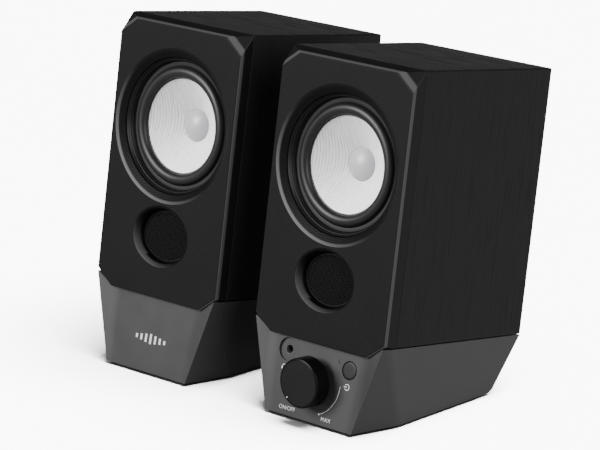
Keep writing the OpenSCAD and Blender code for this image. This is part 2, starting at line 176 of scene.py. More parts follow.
def mendCuts(thing):
    # Joins the thin slivers that cuts leave on a flat face
    bm = bmesh.new()
    bm.from_mesh(thing.data)
    bmesh.ops.remove_doubles(bm, verts=bm.verts, dist=0.004)
    bmesh.ops.dissolve_degenerate(bm, edges=bm.edges, dist=0.004)
    bmesh.ops.dissolve_limit(bm, angle_limit=math.radians(0.6), verts=bm.verts, edges=bm.edges)
    bm.to_mesh(thing.data)
    bm.free()


def flatNormals(thing, least=12.0, angle=40):
    # Large planes keep their own normal up to their rim, and the narrow bevels turn between them
    mesh = thing.data
    mesh.polygons.foreach_set("use_smooth", [True] * len(mesh.polygons))
    planes, areas = [], {}
    for face in mesh.polygons:
        key = tuple(round(c, 2) for c in (*face.normal, face.center.dot(face.normal) / 10))
        planes.append(key)
        areas[key] = areas.get(key, 0) + face.area
    around = {}
    for face, key in zip(mesh.polygons, planes):
        for corner in face.vertices:
            around.setdefault(corner, []).append((face.normal.copy(), face.area, areas[key] > least))
    limit = math.cos(math.radians(angle))
    normals = [None] * len(mesh.loops)
    for face, key in zip(mesh.polygons, planes):
        for index, corner in zip(face.loop_indices, face.vertices):
            normal = face.normal.copy()
            if areas[key] <= least:
                near = [item for item in around[corner] if item[0].dot(face.normal) > limit]
                flats = [item for item in near if item[2]]
                normal = sum((n * area for n, area, flat in flats or near), Vector())
            normals[index] = normal.normalized()
    mesh.normals_split_custom_set(normals)


def markEdges(thing, width):
    # 1 along the middle of narrow outward bevels and 0 elsewhere; the mask carries a painted highlight on these bevels
    bm = bmesh.new()
    bm.from_mesh(thing.data)
    layer = bm.verts.layers.float.new("edge")
    for vertex in bm.verts:
        narrow = all(len(face.verts) == 4 and face.calc_area() < width * max(edge.calc_length() for edge in face.edges) for face in vertex.link_faces)
        around = [(edge.other_vert(vertex).co - vertex.co).normalized().dot(vertex.normal) for edge in vertex.link_edges]
        vertex[layer] = 1.0 if narrow and sum(around) / len(around) < -0.02 else 0.0
    bm.to_mesh(thing.data)
    bm.free()


def tidyFaces(bm, distance=1e-4):
    bmesh.ops.remove_doubles(bm, verts=bm.verts, dist=distance)
    bmesh.ops.recalc_face_normals(bm, faces=bm.faces)
    return bm


def lathe(bm, profile, steps=96, closed=True):
    rings = []
    for i in range(steps):
        a = turn * i / steps
        rings.append([bm.verts.new((r * math.cos(a), r * math.sin(a), z)) for r, z in profile])
    count = len(profile)
    for i in range(steps):
        here, there = rings[i], rings[(i + 1) % steps]
        for j in range(count if closed else count - 1):
            k = (j + 1) % count
            bm.faces.new((here[j], there[j], there[k], here[k]))
    return tidyFaces(bm)


def prism(bm, outline, low, high):
    under = [bm.verts.new((p[0], p[1], low)) for p in outline]
    over = [bm.verts.new((p[0], p[1], high)) for p in outline]
    bm.faces.new(under)
    bm.faces.new(over)
    for i in range(len(outline)):
        j = (i + 1) % len(outline)
        bm.faces.new((under[i], under[j], over[j], over[i]))
    return tidyFaces(bm)


def block(bm, low, high):
    prism(bm, [(low[0], low[1]), (high[0], low[1]), (high[0], high[1]), (low[0], high[1])], low[2], high[2])
    return bm


def rounded(points, radius, steps=5, closed=True):
    out = []
    for i, point in enumerate(points):
        here = Vector(point)
        size = radius[i] if isinstance(radius, (list, tuple)) else radius
        if size <= 0 or (not closed and i in (0, len(points) - 1)):
            out.append(tuple(here))
            continue
        back = Vector(points[i - 1]) - here
        on = Vector(points[(i + 1) % len(points)]) - here
        reach = min(size / math.tan(back.angle(on) / 2), back.length * 0.49, on.length * 0.49)
        first, last = here + back.normalized() * reach, here + on.normalized() * reach
        for s in range(steps + 1):
            t = s / steps
            out.append(tuple(first * (1 - t) ** 2 + here * 2 * t * (1 - t) + last * t * t))
    return out


def trim(bm, point, normal):
    result = bmesh.ops.bisect_plane(bm, geom=bm.verts[:] + bm.edges[:] + bm.faces[:], plane_co=point, plane_no=normal, clear_outer=True)
    edges = [g for g in result["geom_cut"] if isinstance(g, bmesh.types.BMEdge)]
    if edges:
        bmesh.ops.edgenet_fill(bm, edges=edges)
    return bm


def oval(a, b, steps=72):
    r = b * 0.86
    c = a - r
    big = (c * c + b * b - r * r) / (2 * (b - r))
    swing = math.atan2(c, big - b)
    points = []
    quarter = steps // 4
    for i in range(quarter):
        t = i / quarter * (math.pi / 2)
        if t < math.pi / 2 - swing:
            points.append((c + r * math.cos(t), r * math.sin(t)))
        else:
            points.append((big * math.cos(t), b - big + big * math.sin(t)))
    points.append((0, b))
    points += [(-x, y) for x, y in reversed(points[:-1])]
    points += [(x, -y) for x, y in reversed(points[1:-1])]
    return points


def finishPiece(thing, place, finish, body="speakers", nodes=()):
    thing.data.transform(place @ Matrix.Scale(mm, 4))
    thing.data.materials.clear()
    thing.data.materials.append(finish)
    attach(thing, body)
    if nodes:
        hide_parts(*nodes)
    return thing


def copyNode(name, node, finish, body="speakers", width=0, angle=35):
    bm = bmesh.new()
    bm.from_mesh(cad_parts[node].data)
    bmesh.ops.remove_doubles(bm, verts=bm.verts, dist=2e-6)
    bmesh.ops.dissolve_limit(bm, angle_limit=math.radians(0.4), verts=bm.verts, edges=bm.edges)
    thing = newObject(name, bm)
    if width:
        soften(thing, width * mm, 2, 50)
    smooth(thing, angle)
    thing.data.materials.clear()
    thing.data.materials.append(finish)
    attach(thing, body)
    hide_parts(node)
    return thing


# ---- materials

def addNode(tree, kind, **values):
    made = tree.nodes.new(kind)
    for key, value in values.items():
        setattr(made, key, value)
    return made


def join(tree, *pairs):
    for start, end in pairs:
        tree.links.new(start, end)


def math2(tree, operation, a, b=None, clamp=False):
    made = addNode(tree, "ShaderNodeMath", operation=operation, use_clamp=clamp)
    for i, value in enumerate((a, b)):
        if value is None:
            continue
        if isinstance(value, (int, float)):
            made.inputs[i].default_value = value
        else:
            tree.links.new(value, made.inputs[i])
    return made.outputs[0]


def makeGroup(name, inputs, outputs):
    group = bpy.data.node_groups.new(name, "ShaderNodeTree")
    for label, value in inputs.items():
        kind = "NodeSocketVector" if value == "vector" else "NodeSocketFloat"
        socket = group.interface.new_socket(label, in_out="INPUT", socket_type=kind)
        if value != "vector":
            socket.default_value = value
    for label in outputs:
        group.interface.new_socket(label, in_out="OUTPUT", socket_type="NodeSocketFloat")
    return group, group.nodes.new("NodeGroupInput"), group.nodes.new("NodeGroupOutput")


def makeWeave():
    # Over and under threads: x and y are the thread directions
    group, given, result = makeGroup("weave", {"Vector": "vector", "Across": 1.0, "Along": 1.0, "Sharpness": 0.6}, ["Height", "Thread", "Gap"])
    split = addNode(group, "ShaderNodeSeparateXYZ")
    join(group, (given.outputs["Vector"], split.inputs[0]))
    u = math2(group, "MULTIPLY", split.outputs[0], given.outputs["Across"])
    v = math2(group, "MULTIPLY", split.outputs[1], given.outputs["Along"])
    lumpU = math2(group, "ABSOLUTE", math2(group, "SINE", math2(group, "MULTIPLY", u, math.pi)))
    lumpV = math2(group, "ABSOLUTE", math2(group, "SINE", math2(group, "MULTIPLY", v, math.pi)))
    check = math2(group, "ADD", math2(group, "FLOOR", u), math2(group, "FLOOR", v))
    over = math2(group, "GREATER_THAN", math2(group, "FRACT", math2(group, "MULTIPLY", check, 0.5)), 0.25)
    warp = math2(group, "MULTIPLY", math2(group, "POWER", lumpU, given.outputs["Sharpness"]), math2(group, "ADD", 0.45, math2(group, "MULTIPLY", lumpV, 0.55)))
    weft = math2(group, "MULTIPLY", math2(group, "POWER", lumpV, given.outputs["Sharpness"]), math2(group, "ADD", 0.45, math2(group, "MULTIPLY", lumpU, 0.55)))
    blend = addNode(group, "ShaderNodeMix", data_type="FLOAT")
    join(group, (over, blend.inputs[0]), (warp, blend.inputs[2]), (weft, blend.inputs[3]))
    gap = math2(group, "SUBTRACT", 1.0, math2(group, "MULTIPLY", lumpU, lumpV), clamp=True)
    join(group, (blend.outputs[0], result.inputs["Height"]), (over, result.inputs["Thread"]), (math2(group, "POWER", gap, 6.0), result.inputs["Gap"]))
    return group


def makeGrain():
    # Long fibres: x across them and y along them, in decimetres
    group, given, result = makeGroup("grain", {"Vector": "vector", "Fineness": 220.0, "Stretch": 14.0}, ["Fibre", "Pore", "Band"])
    stretch = addNode(group, "ShaderNodeCombineXYZ")
    join(group, (given.outputs["Fineness"], stretch.inputs[0]), (given.outputs["Stretch"], stretch.inputs[1]))
    stretch.inputs[2].default_value = 1.0
    scaled = addNode(group, "ShaderNodeVectorMath", operation="MULTIPLY")
    join(group, (given.outputs["Vector"], scaled.inputs[0]), (stretch.outputs[0], scaled.inputs[1]))
    fibre = addNode(group, "ShaderNodeTexNoise", noise_dimensions="3D")
    fibre.inputs["Scale"].default_value = 1.0
    fibre.inputs["Detail"].default_value = 3.0
    pore = addNode(group, "ShaderNodeTexNoise", noise_dimensions="3D")
    pore.inputs["Scale"].default_value = 0.45
    pore.inputs["Detail"].default_value = 2.0
    pore.inputs["Distortion"].default_value = 0.3
    band = addNode(group, "ShaderNodeTexNoise", noise_dimensions="3D")
    band.inputs["Scale"].default_value = 0.06
    band.inputs["Detail"].default_value = 2.0
    for made in (fibre, pore, band):
        join(group, (scaled.outputs[0], made.inputs["Vector"]))
    deep = addNode(group, "ShaderNodeMapRange")
    deep.inputs["From Min"].default_value = 0.36
    deep.inputs["From Max"].default_value = 0.5
    join(group, (pore.outputs[0], deep.inputs["Value"]))
    join(group, (fibre.outputs[0], result.inputs["Fibre"]), (deep.outputs[0], result.inputs["Pore"]), (band.outputs[0], result.inputs["Band"]))
    return group


def makeSpeckle():
    # Moulded or sprayed skin: fine bumps plus slow clouds
    group, given, result = makeGroup("speckle", {"Vector": "vector", "Fine": 2200.0, "Cloud": 60.0}, ["Bumps", "Clouds"])
    fine = addNode(group, "ShaderNodeTexNoise")
    fine.inputs["Detail"].default_value = 2.0
    cloud = addNode(group, "ShaderNodeTexNoise")
    cloud.inputs["Detail"].default_value = 3.0
    for made, label in ((fine, "Fine"), (cloud, "Cloud")):
        join(group, (given.outputs["Vector"], made.inputs["Vector"]), (given.outputs[label], made.inputs["Scale"]))
    join(group, (fine.outputs[0], result.inputs["Bumps"]), (cloud.outputs[0], result.inputs["Clouds"]))
    return group


def makePaintedSheen():
    # Painted highlight along the marked edges: a patchy mask that lightens their colour where light would catch them
    group, given, result = makeGroup("wear", {"Vector": "vector", "Amount": 0.5, "Breakup": 300.0, "Edge": 0.0}, ["Mask"])
    patchy = addNode(group, "ShaderNodeTexNoise")
    patchy.inputs["Detail"].default_value = 3.0
    join(group, (given.outputs["Vector"], patchy.inputs["Vector"]), (given.outputs["Breakup"], patchy.inputs["Scale"]))
    mask = math2(group, "MULTIPLY", given.outputs["Edge"], math2(group, "ADD", patchy.outputs[0], 0.4))
    join(group, (math2(group, "MULTIPLY", mask, given.outputs["Amount"], clamp=True), result.inputs["Mask"]))
    return group


weaveGroup, grainGroup, speckleGroup, paintedSheenGroup = makeWeave(), makeGrain(), makeSpeckle(), makePaintedSheen()


def placeGroup(tree, group, coords, **values):
    made = addNode(tree, "ShaderNodeGroup", node_tree=group)
    if coords is not None:
        join(tree, (coords, made.inputs["Vector"]))
    for label, value in values.items():
        made.inputs[label].default_value = value
    return made


def startMaterial(name, **sockets):
    material = bpy.data.materials.new(name)
    material.use_nodes = True
    tree = material.node_tree
    shader = tree.nodes["Principled BSDF"]
    for label, value in sockets.items():
        shader.inputs[label.replace("_", " ")].default_value = value
    return material, tree, shader


def fade(tree, factor, low, high):
    ramp = addNode(tree, "ShaderNodeMapRange")
    ramp.inputs["To Min"].default_value = low
    ramp.inputs["To Max"].default_value = high
    join(tree, (factor, ramp.inputs["Value"]))
    return ramp.outputs[0]


def tint(tree, factor, dark, light):
    mix = addNode(tree, "ShaderNodeMix", data_type="RGBA")
    mix.inputs[6].default_value = (*dark, 1)
    mix.inputs[7].default_value = (*light, 1)
    join(tree, (factor, mix.inputs[0]))
    return mix.outputs[2]


def bump(tree, height, shader, strength, distance, under=None):
    made = addNode(tree, "ShaderNodeBump")
    made.inputs["Strength"].default_value = strength
    made.inputs["Distance"].default_value = distance
    join(tree, (height, made.inputs["Height"]), (made.outputs[0], shader.inputs["Normal"]))
    if under is not None:
        join(tree, (under, made.inputs["Normal"]))
    return made.outputs[0]


def objectCoords(tree, lift=0.0):
    coords = addNode(tree, "ShaderNodeTexCoord")
    mapping = addNode(tree, "ShaderNodeMapping")
    mapping.inputs["Rotation"].default_value = (lift, 0, 0)
    join(tree, (coords.outputs["Object"], mapping.inputs["Vector"]))
    return mapping.outputs[0]


def uvCoords(tree):
    return addNode(tree, "ShaderNodeTexCoord").outputs["UV"]


def makeVeneer():
    look = {"dark": (0.0040, 0.0040, 0.0040), "light": (0.0072, 0.0071, 0.0071), "roughLow": 0.42, "roughHigh": 0.6}
    material, tree, shader = startMaterial("blackGrainVeneer", Specular_IOR_Level=0.07)
    grain = placeGroup(tree, grainGroup, uvCoords(tree), Fineness=1700.0, Stretch=60.0)
    shade = math2(tree, "ADD", math2(tree, "MULTIPLY", grain.outputs["Fibre"], 0.5), math2(tree, "MULTIPLY", grain.outputs["Band"], 0.45))
    join(tree, (tint(tree, shade, look["dark"], look["light"]), shader.inputs["Base Color"]))
    join(tree, (fade(tree, grain.outputs["Pore"], look["roughHigh"], look["roughLow"]), shader.inputs["Roughness"]))
    relief = math2(tree, "ADD", grain.outputs["Pore"], math2(tree, "MULTIPLY", grain.outputs["Fibre"], 0.5))
    bump(tree, relief, shader, 0.3, 0.0001)
    return material


def makeMoulded(name, dark, light, roughness, strength=0.12, fine=2200.0, specular=0.5, coat=0.0, wear=0.0, paintedSheenShade=None):
    material, tree, shader = startMaterial(name, Specular_IOR_Level=specular, Coat_Weight=coat, Coat_Roughness=0.25)
    coords = objectCoords(tree)
    skin = placeGroup(tree, speckleGroup, coords, Fine=fine)
    colour = tint(tree, skin.outputs["Clouds"], dark, light)
    rough = fade(tree, skin.outputs["Clouds"], roughness - 0.06, roughness + 0.06)
    # Painted highlight: the colour is lightened along the marked edges, and the roughness lowered there
    if wear:
        sheen = placeGroup(tree, paintedSheenGroup, coords, Amount=wear)
        join(tree, (addNode(tree, "ShaderNodeAttribute", attribute_name="edge").outputs["Fac"], sheen.inputs["Edge"]))
        mix = addNode(tree, "ShaderNodeMix", data_type="RGBA")
        mix.inputs[7].default_value = (*(paintedSheenShade or light), 1)
        join(tree, (sheen.outputs["Mask"], mix.inputs[0]), (colour, mix.inputs[6]))
        colour = mix.outputs[2]
        rough = math2(tree, "SUBTRACT", rough, math2(tree, "MULTIPLY", sheen.outputs["Mask"], 0.12))
    join(tree, (colour, shader.inputs["Base Color"]), (rough, shader.inputs["Roughness"]))
    bump(tree, skin.outputs["Bumps"], shader, strength, 0.00004)
    return material


def frontCoords(tree):
    turned = objectCoords(tree, lean)
    split = addNode(tree, "ShaderNodeSeparateXYZ")
    flat = addNode(tree, "ShaderNodeCombineXYZ")
    join(tree, (turned, split.inputs[0]), (split.outputs[0], flat.inputs[0]), (split.outputs[2], flat.inputs[1]))
    return flat.outputs[0]


def makeWovenCover(name="wovenCover", shade=1.0):
    look = {"dark": 0.0044, "light": 0.0068, "gap": 0.0010, "across": 1150.0, "along": 770.0, "sunk": 0.3, "rimHighlight": 0.06}
    material, tree, shader = startMaterial(name, Specular_IOR_Level=0.05)
    coords = frontCoords(tree)
    weave = placeGroup(tree, weaveGroup, coords, Across=look["across"], Along=look["along"])
    skin = placeGroup(tree, speckleGroup, coords, Fine=900.0, Cloud=25.0)
    mix = addNode(tree, "ShaderNodeMix", data_type="RGBA")
    mix.inputs[6].default_value = (*(look["gap"] * shade,) * 3, 1)
    thread = tint(tree, skin.outputs["Clouds"], (look["dark"] * shade,) * 3, (look["light"] * shade,) * 3)
    join(tree, (weave.outputs["Height"], mix.inputs[0]), (thread, mix.inputs[7]))
    # Painted shade: the colour is darkened down in the flares, where shade falls
    sunk = addNode(tree, "ShaderNodeAttribute", attribute_name="sunk")
    darker = addNode(tree, "ShaderNodeMix", data_type="RGBA", blend_type="MULTIPLY")
    darker.inputs[7].default_value = (*(look["sunk"],) * 3, 1)
    # Painted highlight: the marked rims and chamfer are brightened towards this colour
    rimHighlight = addNode(tree, "ShaderNodeAttribute", attribute_name="edge")
    bright = addNode(tree, "ShaderNodeMix", data_type="RGBA")
    bright.inputs[7].default_value = (*(look["rimHighlight"],) * 3, 1)
    join(tree, (sunk.outputs["Fac"], darker.inputs[0]), (mix.outputs[2], darker.inputs[6]))
    join(tree, (rimHighlight.outputs["Fac"], bright.inputs[0]), (darker.outputs[2], bright.inputs[6]), (bright.outputs[2], shader.inputs["Base Color"]))
    join(tree, (fade(tree, weave.outputs["Height"], 0.7, 0.4), shader.inputs["Roughness"]))
    bump(tree, weave.outputs["Height"], shader, 0.35, 0.0002)
    return material


def makeWovenCone():
    # near and far are the darkest and brightest ends of the painted shade across the cone
    look = {"dark": (0.30, 0.30, 0.31), "light": (0.86, 0.86, 0.87), "across": 620.0, "along": 900.0, "near": 0.42, "far": 1.0}
    material, tree, shader = startMaterial("wovenCone", Specular_IOR_Level=0.4)
    weave = placeGroup(tree, weaveGroup, frontCoords(tree), Across=look["across"], Along=look["along"])
    streaks = placeGroup(tree, grainGroup, frontCoords(tree), Fineness=1300.0, Stretch=90.0)
    # Painted shade: this mask darkens the cone towards its upper left, and is multiplied with the fibre streaks
    tone = addNode(tree, "ShaderNodeAttribute", attribute_name="tone")
    paintedShadeAndStreaks = math2(tree, "MULTIPLY", fade(tree, tone.outputs["Fac"], look["near"], look["far"]), fade(tree, streaks.outputs["Fibre"], 0.7, 1.6), clamp=True)
    mix = addNode(tree, "ShaderNodeMix", data_type="RGBA", blend_type="MULTIPLY")
    mix.inputs[0].default_value = 1.0
    join(tree, (tint(tree, weave.outputs["Height"], look["dark"], look["light"]), mix.inputs[6]), (paintedShadeAndStreaks, mix.inputs[7]))
    join(tree, (mix.outputs[2], shader.inputs["Base Color"]))
    join(tree, (fade(tree, weave.outputs["Thread"], 0.34, 0.5), shader.inputs["Roughness"]))
    bump(tree, weave.outputs["Height"], shader, 0.4, 0.0002)
    return material


def makeMetal(name, colour, roughness):
    material, tree, shader = startMaterial(name, Metallic=1.0)
    skin = placeGroup(tree, speckleGroup, objectCoords(tree), Fine=1500.0, Cloud=200.0)
    darker = tuple(c * 0.8 for c in colour)
    join(tree, (tint(tree, skin.outputs["Clouds"], darker, colour), shader.inputs["Base Color"]))
    join(tree, (fade(tree, skin.outputs["Bumps"], roughness - 0.08, roughness + 0.08), shader.inputs["Roughness"]))
    return material


finishes = {
    "veneer": makeVeneer(),
    "woven": makeWovenCover(),
    # Painted shade: a copy of the woven cover at half brightness for the port, which lies in shade
    "wovenShaded": makeWovenCover("wovenPort", 0.5),
    "cone": makeWovenCone(),
    "satinBlack": makeMoulded("satinBlack", (0.002, 0.002, 0.002), (0.004, 0.004, 0.004), 0.5, 0.2, 1500.0, specular=0.2),
    "baffle": makeMoulded("grainedBlack", (0.0006, 0.0006, 0.0006), (0.0026, 0.0026, 0.0026), 0.5, 0.6, 700.0, specular=0.12),
    "rearBlack": makeMoulded("rearPlateBlack", (0.004, 0.004, 0.0041), (0.007, 0.007, 0.0072), 0.5, 0.3, 1200.0, specular=0.3),
    "innerRing": makeMoulded("innerRing", (0.003, 0.003, 0.0031), (0.005, 0.005, 0.0051), 0.4, 0.1, specular=0.15),
    "cap": makeMoulded("dustCapCoat", (0.22, 0.22, 0.23), (0.30, 0.30, 0.31), 0.4, 0.15, 1600.0, specular=0.5),
    # Painted highlight: the grey shell's marked edges are lightened
    "greyShell": makeMoulded("greyShell", (0.0145, 0.0145, 0.0149), (0.0195, 0.0195, 0.02), 0.42, 0.15, 2600.0, specular=0.2, wear=0.7, paintedSheenShade=(0.1, 0.1, 0.1)),
    "rubber": makeMoulded("softRubber", (0.003, 0.003, 0.003), (0.006, 0.006, 0.006), 0.62, 0.2, 1800.0, specular=0.15),
    "roll": makeMoulded("rollRubber", (0.0028, 0.0028, 0.0029), (0.0045, 0.0045, 0.0046), 0.42, 0.06, 1500.0, specular=0.2),
    "knob": makeMoulded("knobBlack", (0.0012, 0.0012, 0.0012), (0.002, 0.002, 0.002), 0.3, 0.04, 2600.0, specular=0.06),
    "knobFace": makeMoulded("knobFace", (0.0028, 0.0028, 0.0029), (0.004, 0.004, 0.0041), 0.42, 0.1, 2600.0, specular=0.1),
    "button": makeMoulded("buttonGrey", (0.0065, 0.0065, 0.0066), (0.009, 0.009, 0.0092), 0.42, 0.1, 2600.0, specular=0.15),
    "print": makeMoulded("whitePrint", (0.3, 0.3, 0.3), (0.36, 0.36, 0.36), 0.5, 0.05, 2600.0),
    "meshWire": makeMoulded("meshWire", (0.0008, 0.0008, 0.0009), (0.0018, 0.0018, 0.0019), 0.55, 0.1, 2600.0, specular=0.08),
    "steel": makeMetal("platedSteel", (0.62, 0.62, 0.64), 0.35),
    "darkSteel": makeMetal("blackScrew", (0.03, 0.03, 0.031), 0.45),
    "gold": makeMetal("contactGold", (0.6, 0.42, 0.18), 0.3),
    "copper": makeMetal("coilCopper", (0.75, 0.36, 0.2), 0.35),
    "alloy": makeMetal("heatSinkAlloy", (0.7, 0.7, 0.72), 0.4),
    "ferrite": makeMoulded("magnetFerrite", (0.02, 0.02, 0.021), (0.035, 0.035, 0.036), 0.7, 0.2),
    "board": makeMoulded("boardGreen", (0.01, 0.07, 0.03), (0.014, 0.09, 0.04), 0.4, 0.1),
    "cloth": makeMoulded("spiderCloth", (0.38, 0.27, 0.11), (0.5, 0.36, 0.16), 0.8, 0.3, 900.0),
    "lens": makeMoulded("lampLens", (0.02, 0.02, 0.022), (0.03, 0.03, 0.033), 0.2, 0.02),
}
print("materials made:", len(finishes))


# ---- wooden boxes

def boxCoordinates(thing, place):
    # Wood grain runs up the sides and back, and across the top
    back = (place @ Matrix.Scale(mm, 4)).inverted()
    turned = back.to_3x3()
    layer = thing.data.uv_layers.new(name="grain")
    for face in thing.data.polygons:
        n = (turned @ face.normal).normalized()
        for index in face.loop_indices:
            p = back @ thing.data.vertices[thing.data.loops[index].vertex_index].co
            if abs(n.z) > max(abs(n.x), abs(n.y)):
                layer.data[index].uv = (p.y * mm, p.x * mm + 2)
            elif abs(n.x) > abs(n.y):
                layer.data[index].uv = (p.y * mm + 1, p.z * mm)
            else:
                layer.data[index].uv = (p.x * mm + 3, p.z * mm)


def buildCabinet(side):
    box = {"edge": 0.9, "opening": (58.0, 42.0, 24.0)}
    place = boxPlace(side)
    half, board = speaker["boxWidth"] / 2, speaker["board"]
    depth, height = speaker["boxDepth"], speaker["boxHeight"]
    shell = newObject(side + "_wooden_box", block(bmesh.new(), (-half, 0, 0), (half, depth, height)))
    soften(shell, box["edge"], 3)
    inside = newObject("inside", block(bmesh.new(), (board - half, -5, board), (half - board, depth - board, height - board)))
    carve(shell, inside)
    wide, tall, low = box["opening"]
    carve(shell, newObject("window", block(bmesh.new(), (-wide / 2, depth - board - 5, low), (wide / 2, depth + 5, low + tall))))
    smooth(shell)
    finishPiece(shell, place, finishes["veneer"], nodes=(side + "_cabinet",))
    boxCoordinates(shell, place)


def coverOutline(inset):
    cover = {"half": 51.7, "clipWide": 13.0, "clipHigh": 9.75, "low": -8.0, "top": 162.3}
    x, low, top = cover["half"] - inset, cover["low"] + inset, cover["top"] - inset
    wide, high = cover["clipWide"], cover["clipHigh"]
    return [(wide - x, low), (x - wide, low), (x, low + high), (x, top - high), (x - wide, top), (wide - x, top), (-x, top - high), (-x, low + high)]


def frontHull(bevel):
    bm = bmesh.new()
    half = speaker["boxWidth"] / 2
    layers = [([(-half, 0), (half, 0), (half, speaker["boxHeight"]), (-half, speaker["boxHeight"])], -speaker["frontDepth"])]
    layers += [(coverOutline(0), -bevel), (coverOutline(bevel), 0)]
    for outline, z in layers:
        for x, y in outline:
            bm.verts.new((x, y, z))
    bmesh.ops.convex_hull(bm, input=bm.verts[:])
    bmesh.ops.dissolve_limit(bm, angle_limit=0.01, verts=bm.verts, edges=bm.edges)
    return bm


def ringCutter(name, profile, height):
    bm = lathe(bmesh.new(), profile, 128, closed=False)
    for face in list(bm.faces):
        face.normal_update()
    bmesh.ops.holes_fill(bm, edges=bm.edges)
    bmesh.ops.recalc_face_normals(bm, faces=bm.faces)
    bmesh.ops.translate(bm, verts=bm.verts, vec=(0, height, 0))
    return newObject(name, bm)


def ovalCutter(name, a, b, low, high, height):
    bm = prism(bmesh.new(), oval(a, b, 96), low, high)
    bmesh.ops.translate(bm, verts=bm.verts, vec=(0, height, 0))
    return newObject(name, bm)


def buildBaffle(side):
    baffle = {"edge": 0.5, "seat": 47.7, "step": 43.2, "hole": 41.2, "portWide": 23.6, "portTall": 19.4}
    bm = frontHull(0.8)
    trim(bm, (0, 0, -3.02), (0, 0, 1))
    front = newObject(side + "_front_board", tidyFaces(bm))
    soften(front, baffle["edge"], 3, 12)
    high = speaker["driverHeight"]
    carve(front, ringCutter("seat", [(baffle["hole"], -20), (baffle["hole"], -9.9), (baffle["step"], -9.9), (baffle["step"], -5.6), (baffle["seat"], -5.6), (baffle["seat"], 5)], high))
    carve(front, ovalCutter("portHole", baffle["portWide"], baffle["portTall"], -30, 10, speaker["portHeight"]))
    smooth(front, 30)
    finishPiece(front, frontPlace(side), finishes["baffle"], nodes=(side + "_baffle",))


def markFlareShade(thing, inside, start, full):
    # Painted shade mask: 0 on the flat front and 1 down in a flare, where the colour is darkened to stand in for shade
    layer = thing.data.attributes.new("sunk", "FLOAT", "POINT")
    for i, vertex in enumerate(thing.data.vertices):
        t = (start - vertex.co.z) / (start - full)
        layer.data[i].value = min(1.0, max(0.0, t)) if inside(vertex.co) else 0.0


def markRimHighlight(thing, high):
    # Painted highlight: the chamfer all round, and the lower left of the driver's flare, are brightened to stand in for
    # the light they catch
    layer = thing.data.attributes.new("edge", "FLOAT", "POINT")
    for i, vertex in enumerate(thing.data.vertices):
        x, y, z = vertex.co
        r = math.hypot(x, y - high)
        value = 0.0
        if r < 50:
            facing = -(x + (y - high)) / max(1, r) / math.sqrt(2)
            value = max(0.0, facing) ** 1.5 if 47.0 < r < 48.5 else 0.0
        elif math.hypot(x, (y - speaker["portHeight"]) * 1.2) > 25 and z < -0.25:
            value = 0.5
        layer.data[i].value = value


def buildCover(side):
    cover = {"bevel": 0.8, "edge": 0.3}
    bm = frontHull(cover["bevel"])
    trim(bm, (0, 0, -2.98), (0, 0, -1))
    face = newObject(side + "_woven_cover", tidyFaces(bm))
    high = speaker["driverHeight"]
    carve(face, ringCutter("flare", [(42.6, -6), (42.6, -3), (43.0, -2.75), (44.2, -2.15), (45.4, -1.55), (46.4, -1.05), (47.1, -0.68), (47.6, -0.38), (48.0, -0.16), (48.35, -0.04), (48.7, 0.02), (49.2, 4)], high))
    carve(face, ovalCutter("portHole", 23.5, 19.3, -10, 10, speaker["portHeight"]))
    soften(face, cover["edge"], 2, 25)
    smooth(face, 30)
    # Painted shade down in the driver and port flares, and a painted highlight on the flare rim and the chamfer
    markFlareShade(face, lambda p: math.hypot(p.x, p.y - high) < 49 or math.hypot(p.x, p.y - speaker["portHeight"]) < 24, -0.35, -1.3)
    markRimHighlight(face, high)
    finishPiece(face, frontPlace(side), finishes["woven"], nodes=(side + "_cover",))


# ---- drive units

def markConeShade(thing):
    # Painted shade: the cone's colour is made darker towards its upper left, standing in for the way light falls across
    # it
    layer = thing.data.attributes.new("tone", "FLOAT", "POINT")
    for i, vertex in enumerate(thing.data.vertices):
        layer.data[i].value = min(1.0, max(0.0, 0.5 + (vertex.co.x * 0.8 - vertex.co.y * 0.5) / 52))


